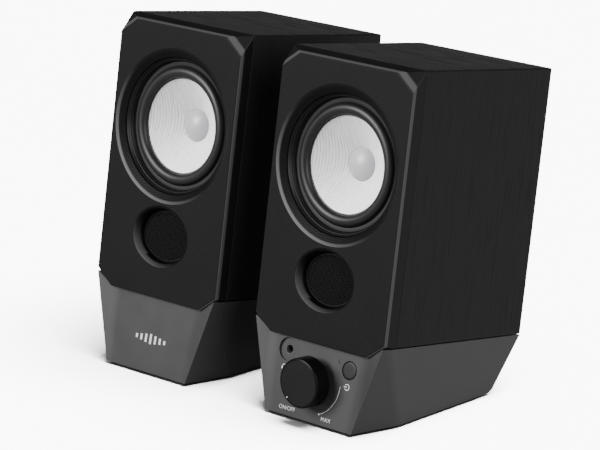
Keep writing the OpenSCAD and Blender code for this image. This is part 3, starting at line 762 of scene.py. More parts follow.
def buildDriver(side):
    place = frontPlace(side, speaker["driverHeight"])
    moving = side + "_moving_cone"

    ring = lathe(bmesh.new(), rounded([(42.4, -3.2), (42.4, -5.6), (41.0, -5.7), (41.0, -13), (36.8, -13), (36.8, -9.7), (39.9, -9.7), (39.9, -8.9)], [0.4, 0, 0.3, 0.3, 0.3, 0.2, 0.1, 0.6], 4), 128)
    frameRing = newObject(side + "_driver_frame", ring)
    legs = bmesh.new()
    for i in range(6):
        bm = bmesh.new()
        block(bm, (-1.4, -5.2, 0), (1.4, 5.2, 21.5))
        bmesh.ops.rotate(bm, verts=bm.verts, matrix=Matrix.Rotation(math.radians(30), 3, "Y"))
        bmesh.ops.translate(bm, verts=bm.verts, vec=(28.2, 0, -31))
        bmesh.ops.rotate(bm, verts=bm.verts, matrix=Matrix.Rotation(turn * i / 6, 3, "Z"))
        spare = bpy.data.meshes.new("leg")
        bm.to_mesh(spare)
        bm.free()
        legs.from_mesh(spare)
        bpy.data.meshes.remove(spare)
    lathe(legs, [(12, -33), (31, -33), (31, -30), (25, -30), (25, -28.7), (22, -28.7), (22, -31), (12, -31)], 96)
    ringMesh = bpy.data.meshes.new("ring")
    legs.to_mesh(ringMesh)
    legs.free()
    bm = bmesh.new()
    bm.from_mesh(frameRing.data)
    bm.from_mesh(ringMesh)
    bm.to_mesh(frameRing.data)
    bm.free()
    bpy.data.meshes.remove(ringMesh)
    smooth(frameRing)
    finishPiece(frameRing, place, finishes["innerRing"], nodes=(side + "_driver_frame",))

    flange = newObject(side + "_driver_flange", lathe(bmesh.new(), [(43.0, -3.02), (47.4, -3.02), (47.4, -5.55), (43.0, -5.55)], 96))
    smooth(flange)
    finishPiece(flange, place, finishes["satinBlack"], nodes=(side + "_driver_frame",))

    roll = {"crest": 33.4, "outer": 3.8, "inner": 3.15, "level": -9.6}
    profile = [(29.3, -10.0), (29.3, -9.4), (29.75, -9.25)]
    profile += [(roll["crest"] + roll["outer"] * math.cos(t), roll["level"] + roll["outer"] * math.sin(t)) for t in (math.radians(160 - 7 * i) for i in range(21))]
    profile += [(37.5, -8.95), (38.6, -8.82), (39.7, -8.82), (39.7, -9.6), (37.0, -9.6)]
    profile += [(roll["crest"] + roll["inner"] * math.cos(t), roll["level"] + roll["inner"] * math.sin(t)) for t in (math.radians(12 + 8 * i) for i in range(20))]
    profile += [(30.2, -9.9)]
    surround = newObject(side + "_rubber_surround", lathe(bmesh.new(), profile, 128))
    smooth(surround, 50, False)
    surround.data.transform(place @ Matrix.Scale(mm, 4))
    surround.data.materials.append(finishes["roll"])
    centre = place @ Vector((0, 0, -9 * mm))
    outward = (place.to_3x3() @ Vector((1, 0, 0))).normalized()
    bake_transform(surround, "speakers", moving, centre + outward * 0.037, centre + outward * 0.030)
    weights = surround.data.attributes["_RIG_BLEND"]
    axis = (place.to_3x3() @ Vector((0, 0, 1))).normalized()
    for i, vertex in enumerate(surround.data.vertices):
        away = vertex.co - centre
        r = (away - axis * away.dot(axis)).length
        weights.data[i].value = min(1.0, max(0.0, (0.0370 - r) / 0.0066))
    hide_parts(side + "_surround")

    sweep = [(31.2, -10.6), (31.2, -10.02), (29.3, -10.0), (28.2, -10.65), (26.0, -12.1), (23.6, -13.65), (20.5, -15.6), (17.5, -17.65), (14.0, -20.2), (11.6, -21.9), (10.35, -22.75), (10.3, -25.6), (10.85, -25.6), (10.95, -23.2), (12.2, -22.3), (17.3, -18.5), (23.4, -14.4), (29.2, -10.6)]
    cone = newObject(side + "_woven_cone", lathe(bmesh.new(), sweep, 128))
    smooth(cone, 30, False)
    markConeShade(cone)
    finishPiece(cone, place, finishes["cone"], moving, (side + "_cone",))

    ball = {"rise": 4.6, "edge": 10.2, "thick": 0.5, "foot": -22.7}
    r = (ball["edge"] ** 2 + ball["rise"] ** 2) / (2 * ball["rise"])
    low = ball["foot"] + ball["rise"] - r
    reach = math.asin(ball["edge"] / r)
    outer = [(r * math.sin(reach * (1 - i / 16)), low + r * math.cos(reach * (1 - i / 16))) for i in range(16)] + [(0.02, low + r)]
    q = r - ball["thick"]
    tuck = math.acos((r - ball["rise"]) / q)
    inner = [(0.02, low + q)] + [(q * math.sin(tuck * i / 16), low + q * math.cos(tuck * i / 16)) for i in range(1, 17)]
    cap = newObject(side + "_dust_cap", lathe(bmesh.new(), outer + inner, 96))
    smooth(cap, 40, False)
    finishPiece(cap, place, finishes["cap"], moving, (side + "_dust_cap",))


# ---- ports

def loft(bm, rings, steps=96):
    loops = [[bm.verts.new((x, y, z)) for x, y in oval(a, b, steps)] for a, b, z in rings]
    for i in range(len(loops)):
        here, there = loops[i], loops[(i + 1) % len(loops)]
        for k in range(len(here)):
            n = (k + 1) % len(here)
            bm.faces.new((here[k], here[n], there[n], there[k]))
    return tidyFaces(bm)


def makeSweep():
    # Turns loose edges into round wire
    tree = bpy.data.node_groups.new("wireSweep", "GeometryNodeTree")
    tree.interface.new_socket("Geometry", in_out="INPUT", socket_type="NodeSocketGeometry")
    tree.interface.new_socket("Radius", in_out="INPUT", socket_type="NodeSocketFloat")
    tree.interface.new_socket("Sides", in_out="INPUT", socket_type="NodeSocketInt")
    tree.interface.new_socket("Finish", in_out="INPUT", socket_type="NodeSocketMaterial")
    tree.interface.new_socket("Geometry", in_out="OUTPUT", socket_type="NodeSocketGeometry")
    given, result = tree.nodes.new("NodeGroupInput"), tree.nodes.new("NodeGroupOutput")
    curve = tree.nodes.new("GeometryNodeMeshToCurve")
    circle = tree.nodes.new("GeometryNodeCurvePrimitiveCircle")
    tube = tree.nodes.new("GeometryNodeCurveToMesh")
    tube.inputs["Fill Caps"].default_value = True
    real = tree.nodes.new("GeometryNodeRealizeInstances")
    paint = tree.nodes.new("GeometryNodeSetMaterial")
    join(tree, (given.outputs["Geometry"], curve.inputs[0]), (given.outputs["Radius"], circle.inputs["Radius"]), (given.outputs["Sides"], circle.inputs["Resolution"]))
    join(tree, (curve.outputs[0], tube.inputs["Curve"]), (circle.outputs["Curve"], tube.inputs["Profile Curve"]), (tube.outputs[0], real.inputs[0]))
    join(tree, (real.outputs[0], paint.inputs["Geometry"]), (given.outputs["Finish"], paint.inputs["Material"]), (paint.outputs[0], result.inputs[0]))
    return tree


def makeScatter():
    # Sets one small part on every point of a mesh
    tree = bpy.data.node_groups.new("partOnPoints", "GeometryNodeTree")
    tree.interface.new_socket("Geometry", in_out="INPUT", socket_type="NodeSocketGeometry")
    tree.interface.new_socket("Part", in_out="INPUT", socket_type="NodeSocketObject")
    tree.interface.new_socket("Spread", in_out="INPUT", socket_type="NodeSocketFloat")
    tree.interface.new_socket("Seed", in_out="INPUT", socket_type="NodeSocketInt")
    tree.interface.new_socket("Finish", in_out="INPUT", socket_type="NodeSocketMaterial")
    tree.interface.new_socket("Geometry", in_out="OUTPUT", socket_type="NodeSocketGeometry")
    given, result = tree.nodes.new("NodeGroupInput"), tree.nodes.new("NodeGroupOutput")
    part = tree.nodes.new("GeometryNodeObjectInfo")
    place = tree.nodes.new("GeometryNodeInstanceOnPoints")
    spin = tree.nodes.new("FunctionNodeRandomValue")
    angle = tree.nodes.new("ShaderNodeCombineXYZ")
    real = tree.nodes.new("GeometryNodeRealizeInstances")
    paint = tree.nodes.new("GeometryNodeSetMaterial")
    join(tree, (given.outputs["Geometry"], place.inputs["Points"]), (given.outputs["Part"], part.inputs["Object"]), (part.outputs["Geometry"], place.inputs["Instance"]))
    join(tree, (given.outputs["Spread"], spin.inputs[3]), (given.outputs["Seed"], spin.inputs["Seed"]), (spin.outputs[1], angle.inputs[2]), (angle.outputs[0], place.inputs["Rotation"]))
    join(tree, (place.outputs[0], real.inputs[0]), (real.outputs[0], paint.inputs["Geometry"]), (given.outputs["Finish"], paint.inputs["Material"]), (paint.outputs[0], result.inputs[0]))
    return tree


def growNodes(thing, tree, **values):
    grown = thing.modifiers.new(tree.name, "NODES")
    grown.node_group = tree
    names = {item.name: item.identifier for item in tree.interface.items_tree if item.in_out == "INPUT"}
    for label, value in values.items():
        grown[names[label]] = value
    return settle(thing)


sweepTree, scatterTree = makeSweep(), makeScatter()


def markCrescentHighlight(thing, inner, most):
    # Painted highlight: the lower left of the flare is brightened to stand in for the light it catches
    layer = thing.data.attributes.new("edge", "FLOAT", "POINT")
    for i, vertex in enumerate(thing.data.vertices):
        x, y, z = vertex.co
        r = math.hypot(x, y * 1.2)
        facing = max(0.0, -(x + y * 1.4) / max(1, r) / 1.7)
        layer.data[i].value = most * facing ** 2 if r > inner and z > -3.4 else 0.0


def buildPort(side):
    place = frontPlace(side, speaker["portHeight"])
    rings = [(22.0, 17.8, -54.8), (23.45, 19.25, -54.8), (23.45, 19.25, -0.25), (23.4, 19.2, -0.1), (23.1, 18.9, -0.15), (22.6, 18.4, -0.45), (22.1, 17.9, -1.05), (21.6, 17.4, -1.95), (21.1, 16.9, -3.2), (20.6, 16.4, -4.8), (20.2, 16.1, -6.6), (19.9, 15.9, -8.2), (18.6, 14.6, -8.4), (18.6, 14.6, -54.8)]
    tube = newObject(side + "_bass_port", loft(bmesh.new(), rings))
    smooth(tube, 40)
    # Painted shade deeper down the port, and a painted highlight on the lower left of its flare
    markFlareShade(tube, lambda p: True, -0.3, -5.0)
    markCrescentHighlight(tube, 20.5, 0.5)
    finishPiece(tube, place, finishes["wovenShaded"], nodes=(side + "_port",))

    wire = {"pitch": 1.0, "radius": 0.26, "wave": 0.2, "a": 19.5, "b": 15.5, "level": -7.0}
    bm = bmesh.new()
    counts = {"x": int(wire["b"] / wire["pitch"]), "y": int(wire["a"] / wire["pitch"])}
    for along, count in counts.items():
        for row in range(-count, count + 1):
            level = row * wire["pitch"]
            a, b = (wire["a"], wire["b"]) if along == "x" else (wire["b"], wire["a"])
            half = a * math.sqrt(max(0.0, 1 - (level / b) ** 2))
            steps = int(half / (wire["pitch"] / 2))
            if steps < 2:
                continue
            last = None
            for k in range(-steps, steps + 1):
                t = k * wire["pitch"] / 2
                lift = wire["wave"] * math.cos(math.pi * k / 2 + math.pi * row + (math.pi if along == "y" else 0))
                p = (t, level) if along == "x" else (level, t)
                vertex = bm.verts.new((p[0], p[1], wire["level"] + lift))
                if last is not None:
                    bm.edges.new((last, vertex))
                last = vertex
    screen = newObject(side + "_port_mesh", bm)
    growNodes(screen, sweepTree, Radius=wire["radius"], Sides=6, Finish=finishes["meshWire"])
    edge = bmesh.new()
    loft(edge, [(19.9, 15.9, -6.5), (19.0, 15.0, -6.5), (19.0, 15.0, -7.6), (19.9, 15.9, -7.6)], 72)
    edge.from_mesh(screen.data)
    edge.to_mesh(screen.data)
    edge.free()
    smooth(screen, 60, False)
    finishPiece(screen, place, finishes["meshWire"], nodes=(side + "_port_mesh",))


for side in ("left", "right"):
    buildCabinet(side)
    buildBaffle(side)
    buildCover(side)
    buildDriver(side)
    buildPort(side)
print("boxes, covers, drivers and ports built")


# ---- bases: a convex shell cut by the same planes at any inset

def stood(x, d, h):  # from the leaning frame to the floor frame
    return Vector((x, d * math.cos(lean) + h * math.sin(lean), speaker["jointHeight"] - d * math.sin(lean) + h * math.cos(lean)))


base = {
    "ridgeTop": (50.4, -10, -1.5),
    "ridgeLow": (34.4, -10.9, -55),
    "bendTop": (37.8, -7.45, -12),
    "creaseLow": (44.5, 20.5, -50),
    "sideSlope": 0.15,
    "cornerDepth": 96.3,
    "seam": 0.5,
    "wall": 2.6,
    "notchWall": 1.3,
    "bendRound": 4.0,
    "notchRound": 16.0,
    "creaseRound": 2.5,
    "heelRound": 6.0,
    "edge": 0.7,
    "posts": ((26, 14), (-26, 14), (26, 82), (-26, 82)),
}


def panelPlane():
    face = Vector((0, speaker["panelFront"], speaker["footHeight"]))
    return face, Vector((0, -math.cos(panelLean), math.sin(panelLean)))


def basePlanes(recessed):
    half, depth = speaker["boxWidth"] / 2, speaker["boxDepth"]
    middle = Vector((0, 40, 30))
    back = stood(0, depth, 0)
    low = Vector((0, base["cornerDepth"], speaker["footHeight"]))
    sets = []
    for m in (1, -1):
        def at(p):
            return stood(m * p[0], p[1], p[2])
        sets.append((at(base["ridgeTop"]), at(base["ridgeLow"]), at(base["creaseLow"])))
        sets.append((at((half, 0, 0)), at((half - 50 * base["sideSlope"], 0, -50)), at((half, 10, 0))))
    if not recessed:
        x, d, h = base["ridgeTop"]
        sets.append((stood(x, d, h), stood(-x, d, h), stood(*base["ridgeLow"])))
    sets.append((low, back, low + Vector((10, 0, 0))))
    sets.append((stood(0, depth, 0), stood(10, depth, 0), stood(0, depth, 20)))
    planes = []
    for a, b, c in sets:
        normal = (b - a).cross(c - a).normalized()
        if normal.dot(middle - a) > 0:
            normal = -normal
        planes.append((a, normal))
    if recessed:
        planes.append(panelPlane())
    return planes


def recessSolid():
    # Room in front of the control face, between the two wings that fold forwards
    bm = block(bmesh.new(), (-80, -60, -10), (80, 60, 110))
    point, normal = panelPlane()
    trim(bm, point, -normal)
    for m in (1, -1):
        a, b, c = [stood(m * p[0], p[1], p[2]) for p in (base["ridgeTop"], base["ridgeLow"], base["bendTop"])]
        wing = (b - a).cross(c - a).normalized()
        trim(bm, a, wing if wing.x * m > 0 else -wing)
    tidyFaces(bm)
    bm.normal_update()
    roundEdges(bm, lambda e: all(n.y > 0.6 for n in normalPair(e)), base["bendRound"], 8)
    return newObject("recess", tidyFaces(bm, 1e-3))


def baseConvex(inset, low, recessed=False):
    bm = block(bmesh.new(), (-80, -60, low), (80, 160, 110))
    for point, normal in basePlanes(recessed):
        trim(bm, point - normal * inset, normal)
    top = stood(0, 0, -base["seam"] - inset)
    trim(bm, top, stood(0, 0, 1) - stood(0, 0, 0))
    return tidyFaces(bm)


def roundEdges(bm, pick, width, segments):
    edges = [e for e in bm.edges if len(e.link_faces) == 2 and pick(e)]
    if edges:
        bmesh.ops.bevel(bm, geom=edges, offset=width, offset_type="OFFSET", segments=segments, profile=0.5, affect="EDGES", clamp_overlap=True)


def normalPair(edge):
    return edge.link_faces[0].normal, edge.link_faces[1].normal


def notchSolid(name, grow, end):
    curve = base["notchRound"] + grow
    outline = rounded(coverOutline(-base["seam"] - grow), [curve, curve, 0, 0, 0, 0, 0, 0], 12)
    bm = prism(bmesh.new(), outline, -end, 25)
    return newObject(name, bm)


def buildBase(side):
    place = standPlace(side)
    bm = baseConvex(0, speaker["footHeight"])
    bm.normal_update()

    def isHeel(edge):
        a, b = normalPair(edge)
        return min(a.z, b.z) < -0.95 and max(a.y, b.y) > 0.1 and abs(a.x) + abs(b.x) < 0.1

    def isCrease(edge):
        a, b = normalPair(edge)
        return abs(a.x) > 0.6 and abs(b.x) > 0.6 and a.x * b.x > 0

    roundEdges(bm, isCrease, base["creaseRound"], 4)
    bm.normal_update()
    roundEdges(bm, isHeel, base["heelRound"] * 0.6, 6)
    shell = newObject(side + "_base_housing", tidyFaces(bm, 1e-3))
    carve(shell, recessSolid())

    into = standPlace(side).inverted() @ frontPlace(side)
    into.translation /= mm
    notch = notchSolid("notch", 0, 9.7)
    notch.data.transform(into)
    keep = notchSolid("lip", base["wall"], 9.7 + base["notchWall"])
    keep.data.transform(into)
    hollow = newObject("hollow", baseConvex(base["wall"], speaker["footHeight"] - 20, True))
    carve(hollow, keep)
    for x, y in base["posts"]:
        post = lathe(bmesh.new(), [(0.01, -30), (4, -30), (4, 90), (0.01, 90)], 32)
        bmesh.ops.translate(post, verts=post.verts, vec=(x, y, 0))
        carve(hollow, newObject("post", post))
    carve(shell, notch)
    if side == "right":
        cutControls(shell, side)
    mendCuts(shell)
    soften(shell, base["edge"], 3, 28)
    carve(shell, hollow)
    if side == "right":
        small = newObject("lampHole", roundPlug(0.85, -1, 6))
        small.data.transform(panelInto(side, controls["lamp"]))
        carve(shell, small)
    mendCuts(shell)
    # Painted highlight along the bevels of the base
    markEdges(shell, base["edge"] * 0.6)
    flatNormals(shell)
    finishPiece(shell, place, finishes["greyShell"], nodes=(side + "_base",))


controls = {
    "knob": (0.0, 25.3),
    "button": (25.4, 36.8),
    "lamp": (17.0, 40.5),
    "jack": (-24.3, 39.2),
    "knobRadius": 15.3,
    "knobHole": (0.0, 25.8),
    "knobNear": -0.8,
    "knobFar": 10.1,
    "buttonRadius": 5.3,
    "dishRadius": 7.1,
    "dishDepth": 1.5,
}


def panelInto(side, spot):
    into = standPlace(side).inverted() @ panelPlace(side, spot[0], spot[1])
    into.translation /= mm
    return into


def roundPlug(radius, low, high, steps=64):
    bm = bmesh.new()
    bmesh.ops.create_cone(bm, cap_ends=True, segments=steps, radius1=radius, radius2=radius, depth=high - low)
    bmesh.ops.translate(bm, verts=bm.verts, vec=(0, 0, (low + high) / 2))
    return bm


def cutControls(shell, side):
    holes = [("knobHole", 5.3, -6, 2), ("button", controls["buttonRadius"] + 0.4, -6, 2), ("jack", controls["dishRadius"], -controls["dishDepth"], 2)]
    for spot, radius, low, high in holes:
        hole = newObject("hole", roundPlug(radius, low, high))
        hole.data.transform(panelInto(side, controls[spot]))
        carve(shell, hole)
    hole = newObject("hole", roundPlug(3.2, -6, 2))
    hole.data.transform(panelInto(side, controls["jack"]))
    carve(shell, hole)


def buildFeet(side):
    place = standPlace(side)
    foot = {"half": 31.0, "front": -16.6, "deep": 8.0, "round": 2.0, "padRadius": 5.0, "pads": ((37.5, 81), (-37.5, 81))}
    outline = rounded([(-foot["half"], foot["front"]), (foot["half"], foot["front"]), (foot["half"], foot["front"] + foot["deep"]), (-foot["half"], foot["front"] + foot["deep"])], foot["round"], 5)
    strip = newObject(side + "_front_foot_strip", prism(bmesh.new(), outline, 0, speaker["footHeight"]))
    soften(strip, 0.3, 2)
    smooth(strip)
    finishPiece(strip, place, finishes["rubber"], nodes=(side + "_front_foot",))
    pads = bmesh.new()
    for x, y in foot["pads"]:
        before = set(pads.verts)
        lathe(pads, [(0.01, 0.25), (3.6, 0.25), (3.9, 0), (4.6, 0), (4.9, 0.25), (foot["padRadius"], 0.6), (foot["padRadius"], 2.0), (0.01, 2.0)], 48)
        bmesh.ops.translate(pads, verts=[v for v in pads.verts if v not in before], vec=(x, y, 0))
    feet = newObject(side + "_rear_foot_pads", pads)
    smooth(feet)
    finishPiece(feet, place, finishes["rubber"], nodes=(side + "_rear_feet",))
    copyNode(side + "_base_cover_plate", side + "_base_plate", finishes["satinBlack"])


# ---- screws: one head with a cross recess, set on every screw point

def screwHead(radius, length):
    bm = bmesh.new()
    bmesh.ops.create_cone(bm, cap_ends=True, segments=28, radius1=radius, radius2=radius, depth=1.0)
    bmesh.ops.translate(bm, verts=bm.verts, vec=(0, 0, 0.5))
    head = newObject("screwHead", bm)
    soften(head, 0.3, 2)
    for angle in (0, 90):
        bar = block(bmesh.new(), (-radius * 0.55, -radius * 0.11, 0.45), (radius * 0.55, radius * 0.11, 2))
        bmesh.ops.rotate(bar, verts=bar.verts, matrix=Matrix.Rotation(math.radians(angle), 3, "Z"))
        carve(head, newObject("bar", bar))
    stem = bmesh.new()
    bmesh.ops.create_cone(stem, cap_ends=True, segments=14, radius1=radius * 0.42, radius2=radius * 0.46, depth=length)
    bmesh.ops.translate(stem, verts=stem.verts, vec=(0, 0, -length / 2))
    stem.from_mesh(head.data)
    stem.to_mesh(head.data)
    stem.free()
    return smooth(head, 38, False)


def screwSet(name, points, head, place, node, seed):
    bm = bmesh.new()
    for p in points:
        bm.verts.new(p)
    screws = newObject(name, bm)
    growNodes(screws, scatterTree, Part=head, Spread=1.4, Seed=seed, Finish=finishes["darkSteel"])
    finishPiece(screws, place, finishes["darkSteel"], nodes=(node,))


def buildScrews():
    wide, flat, under = screwHead(2.6, 6.0), screwHead(2.2, 6.0), screwHead(2.8, 9.0)
    ring = [(45 * math.cos(math.radians(a)), 45 * math.sin(math.radians(a)), -4.55) for a in (45, 135, 225, 315)]
    for i, side in enumerate(("left", "right")):
        corners = [(x, h, 0) for x in (-34, 34) for h in (20, 70)]
        rear = rearPlace(side) @ shift(0, 0, 2.2)
        screwSet(side + "_rear_panel_screws", corners, wide, rear, side + "_panel_screws", 3 + i)
        screwSet(side + "_driver_screws", ring, flat, frontPlace(side, speaker["driverHeight"]), side + "_driver_screws", 7 + i)
        below = standPlace(side) @ shift(0, 0, speaker["footHeight"] + 1.2) @ Matrix.Rotation(math.pi, 4, "X")
        screwSet(side + "_base_screws", [(x, -y, 0) for x, y in base["posts"]], under, below, side + "_base_screws", 11 + i)
    for head in (wide, flat, under):
        bpy.data.objects.remove(head, do_unlink=True)


# ---- controls on the right base

def buildControls():
    side = "right"
    r, near, far = controls["knobRadius"], controls["knobNear"], controls["knobFar"]
    spot = axisPlace(side, *controls["knob"])
    body = [(3.05, near + 3.4), (8.0, near + 3.4), (8.0, near), (r - 0.5, near), (r, near + 0.5), (r - 0.1, far - 2.0), (r - 0.18, far - 0.9), (r - 0.4, far - 0.35), (r - 0.85, far - 0.05), (r - 1.15, far), (r - 1.5, far - 0.12), (3.05, far - 0.12)]
    turner = newObject("volume_knob_body", lathe(bmesh.new(), body, 128))
    smooth(turner, 30)
    finishPiece(turner, spot, finishes["knob"], "volume_control", ("volume_knob",))
    face = newObject("volume_knob_face", lathe(bmesh.new(), [(0.01, far - 0.3), (r - 1.55, far - 0.3), (r - 1.55, far - 0.16), (r - 1.7, far - 0.06), (0.01, far - 0.06)], 128))
    dot = newObject("dot", roundPlug(0.5, far - 0.25, far + 1, 24))
    dot.data.transform(Matrix.Translation((-8.5, -10.2, 0)))
    carve(face, dot)
    smooth(face, 30)
    finishPiece(face, spot, finishes["knobFace"], "volume_control", ("volume_knob",))
    mark = newObject("volume_knob_dot", lathe(bmesh.new(), [(0.01, far - 0.24), (0.45, far - 0.24), (0.45, far - 0.1), (0.01, far - 0.1)], 24))
    mark.data.transform(Matrix.Translation((-8.5, -10.2, 0)))
    finishPiece(mark, spot, finishes["print"], "volume_control", ("volume_knob",))
    shaft = newObject("volume_shaft", lathe(bmesh.new(), [(0.01, -14.1), (3.0, -14.1), (3.0, far - 2.4), (2.6, far - 2.0), (0.01, far - 2.0)], 48))
    smooth(shaft, 40)
    finishPiece(shaft, spot, finishes["steel"], "volume_control", ("pot_shaft",))

    b = controls["buttonRadius"]
    press = newObject("power_button", lathe(bmesh.new(), [(0.01, 0.14), (b - 1.6, 0.16), (b - 0.7, 0.12), (b - 0.35, 0.02), (b - 0.12, -0.22), (b, -0.6), (b, -3.6), (b + 1.2, -3.6), (b + 1.2, -4.6), (1.7, -4.6), (1.7, -7.4), (0.01, -7.4)], 72))
    smooth(press, 45)
    finishPiece(press, panelPlace(side, *controls["button"]), finishes["button"], "button", ("push_button",))
    switch = newObject("power_switch", block(bmesh.new(), (-3, -3, -8.6), (3, 3, -5.8)))
    carve(switch, newObject("bore", roundPlug(2.1, -9.5, -5, 24)))
    soften(switch, 0.2, 2)
    smooth(switch)
    finishPiece(switch, panelPlace(side, *controls["button"]), finishes["satinBlack"], nodes=("switch_body",))

    pot = newObject("volume_pot", block(bmesh.new(), (-8.5, -9, -15.4), (8.5, 9, -8.4)))
    carve(pot, newObject("bush", roundPlug(4.4, -9, 3.4, 48)), "UNION")
    carve(pot, newObject("bore", roundPlug(3.05, -14.2, 5, 48)))
    soften(pot, 0.25, 2)
    smooth(pot)
    finishPiece(pot, spot, finishes["steel"], nodes=("pot_body",))

    socket = newObject("headphone_jack", lathe(bmesh.new(), [(2.6, -5), (2.6, -1.75), (2.7, -1.6), (3.0, -1.56), (3.1, -1.7), (3.1, -5)], 48))
    smooth(socket, 40)
    jackPlace = panelPlace(side, *controls["jack"])
    finishPiece(socket, jackPlace, finishes["ferrite"], nodes=("headphone_socket",))
    bm = block(bmesh.new(), (-4.4, -4.4, -8.7), (4.4, 3.1, -4.4))
    core = newObject("headphone_jack_body", bm)
    soften(core, 0.3, 2)
    carve(core, newObject("bore", roundPlug(1.8, -8, 0, 32)))
    smooth(core)
    finishPiece(core, jackPlace, finishes["satinBlack"], nodes=("headphone_socket",))

    lamp = newObject("power_lamp", lathe(bmesh.new(), [(0.01, -0.12), (0.4, -0.16), (0.68, -0.35), (0.75, -0.6), (0.75, -8.6), (0.01, -8.6)], 24))
    smooth(lamp, 40)
    finishPiece(lamp, panelPlace(side, *controls["lamp"]), finishes["lens"], nodes=("lamp_lens",))


# ---- printed marks, a hair above the panel

def printStrip(bm, points, width, lift=0.03, closed=False):
    count = len(points)
    left, right = [], []
    for i, point in enumerate(points):
        here = Vector(point)
        back = Vector(points[i - 1]) if i or closed else here
        on = Vector(points[(i + 1) % count]) if i < count - 1 or closed else here
        way = (on - back).normalized()
        side = Vector((-way.y, way.x)) * width / 2
        left.append(bm.verts.new((*(here + side), lift)))
        right.append(bm.verts.new((*(here - side), lift)))
    for i in range(count if closed else count - 1):
        k = (i + 1) % count
        bm.faces.new((right[i], right[k], left[k], left[i]))


def arc(cx, cy, r, start, end, steps=40):
    return [(cx + r * math.cos(math.radians(start + (end - start) * i / steps)), cy + r * math.sin(math.radians(start + (end - start) * i / steps))) for i in range(steps + 1)]


def thicken(bm, lift=0.05):
    made = bmesh.ops.extrude_face_region(bm, geom=bm.faces[:])
    bmesh.ops.translate(bm, verts=[g for g in made["geom"] if isinstance(g, bmesh.types.BMVert)], vec=(0, 0, lift))
    return tidyFaces(bm, 1e-5)


def printWord(word, height, x, y):
    curve = bpy.data.curves.new(word, "FONT")
    curve.body = word
    curve.size = height / 0.7
    curve.align_x = "CENTER"
    curve.align_y = "CENTER"
    curve.offset = 0.01
    text = bpy.data.objects.new(word, curve)
    bpy.context.collection.objects.link(text)
    bpy.context.view_layer.update()
    mesh = bpy.data.meshes.new_from_object(text.evaluated_get(bpy.context.evaluated_depsgraph_get()))
    bpy.data.objects.remove(text, do_unlink=True)
    bpy.data.curves.remove(curve)
    mesh.transform(Matrix.Translation((x, y, 0.03)))
    bm = bmesh.new()
    bm.from_mesh(mesh)
    bpy.data.meshes.remove(mesh)
    bmesh.ops.remove_doubles(bm, verts=bm.verts, dist=1e-4)
    thicken(bm)
    return bm


def printPiece(name, bm, side):
    piece = newObject(name, bm)
    finishPiece(piece, panelPlace(side), finishes["print"])
    return piece


def buildMarks():
    marks = {"word": 2.5, "line": 0.26}
    kx, ky = controls["knob"]
    printPiece("power_words", printWord("ON/OFF", marks["word"], -17.7, 4.3), "right")
    printPiece("max_word", printWord("MAX", marks["word"], 13.5, 3.9), "right")
    scale = bmesh.new()
    printStrip(scale, arc(kx, ky, 20.5, -66, 2), marks["line"])
    bmesh.ops.create_circle(scale, cap_ends=True, segments=20, radius=0.55, matrix=Matrix.Translation((kx + 20.5 * math.cos(math.radians(-68)), ky + 20.5 * math.sin(math.radians(-68)), 0.03)))
    printPiece("volume_scale", thicken(scale), "right")
    standby = bmesh.new()
    printStrip(standby, arc(25.6, 26.8, 1.75, 215, 505), 0.42)
    printStrip(standby, [(25.6, 26.8), (23.2, 26.8)], 0.42)
    printPiece("standby_sign", thicken(standby), "right")
    ear = bmesh.new()
    ex, ey = -25.1, 28.2
    printStrip(ear, arc(ex, ey, 1.6, 10, 170, 20), 0.36)
    for s in (-1, 1):
        printStrip(ear, [(ex + s * 1.55, ey), (ex + s * 1.55, ey - 1.4)], 0.8)
    printPiece("headphone_sign", thicken(ear), "right")
    level = bmesh.new()
    for i, tall in enumerate((2.4, 3.8, 5.2, 6.4, 5.2, 3.8, 2.4)):
        x = (i - 3) * 4.0
        printStrip(level, [(x, 21.0 - tall / 2), (x, 21.0 + tall / 2)], 1.7)
    printPiece("level_mark", thicken(level), "left")


# ---- rear side

def buildRear(side):
    place = rearPlace(side)
    panel = {"half": 38.0, "low": 15.0, "high": 75.0, "thick": 2.0, "screwHole": 1.6, "socketHole": 5.2}
    outline = rounded([(-panel["half"], panel["low"]), (panel["half"], panel["low"]), (panel["half"], panel["high"]), (-panel["half"], panel["high"])], 2.0, 5)
    plate = newObject(side + "_rear_panel", prism(bmesh.new(), outline, 0, panel["thick"]))
    holes = [(20, 45)] if side == "left" else [(20, 45), (-4, 45), (-20, 45), (0, 60)]
    for x, y in holes:
        hole = roundPlug(panel["socketHole"], -2, 5, 48)
        bmesh.ops.translate(hole, verts=hole.verts, vec=(x, y, 0))
        carve(plate, newObject("hole", hole))
    for x in (-34, 34):
        for y in (20, 70):
            hole = roundPlug(panel["screwHole"], -2, 5, 24)
            bmesh.ops.translate(hole, verts=hole.verts, vec=(x, y, 0))
            carve(plate, newObject("hole", hole))
    soften(plate, 0.3, 2)
    smooth(plate)
    finishPiece(plate, place, finishes["rearBlack"], nodes=(side + "_rear_panel",))
    copyNode(side + "_link_socket", side + "_link_socket", finishes["gold"], width=0.15)


def buildInside():
    keep = {
        "magnet": ("ferrite", "ferrite"),
        "top_plate": ("steel", "plated_steel"),
        "pole_plate": ("steel", "plated_steel"),
        "voice_coil": ("copper", "copper"),
        "spider": ("cloth", "spider_cloth"),
    }
    for side in ("left", "right"):
        for part, (finish, slotName) in keep.items():
            dressNode(side + "_" + part, finishes[finish])
    for part, (finish, slotName) in {
        "pot_nut": ("steel", "plated_steel"),
        "control_board": ("board", "board_green"),
        "amplifier_board": ("board", "board_green"),
        "heat_sink": ("alloy", "alloy"),
    }.items():
        dressNode(part, finishes[finish])
    copyNode("input_sockets_pair", "input_sockets", finishes["gold"], width=0.15)
    copyNode("power_inlet_socket", "power_inlet", finishes["satinBlack"], width=0.15)


def dressNode(node, finish):
    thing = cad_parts[node]
    thing.data.materials.clear()
    thing.data.materials.append(finish)


for side in ("left", "right"):
    buildBase(side)
    buildFeet(side)
    buildRear(side)
buildScrews()
buildControls()
buildMarks()
buildInside()
print("bases, controls, rear sides and inner parts built")


# ---- floor, light and camera

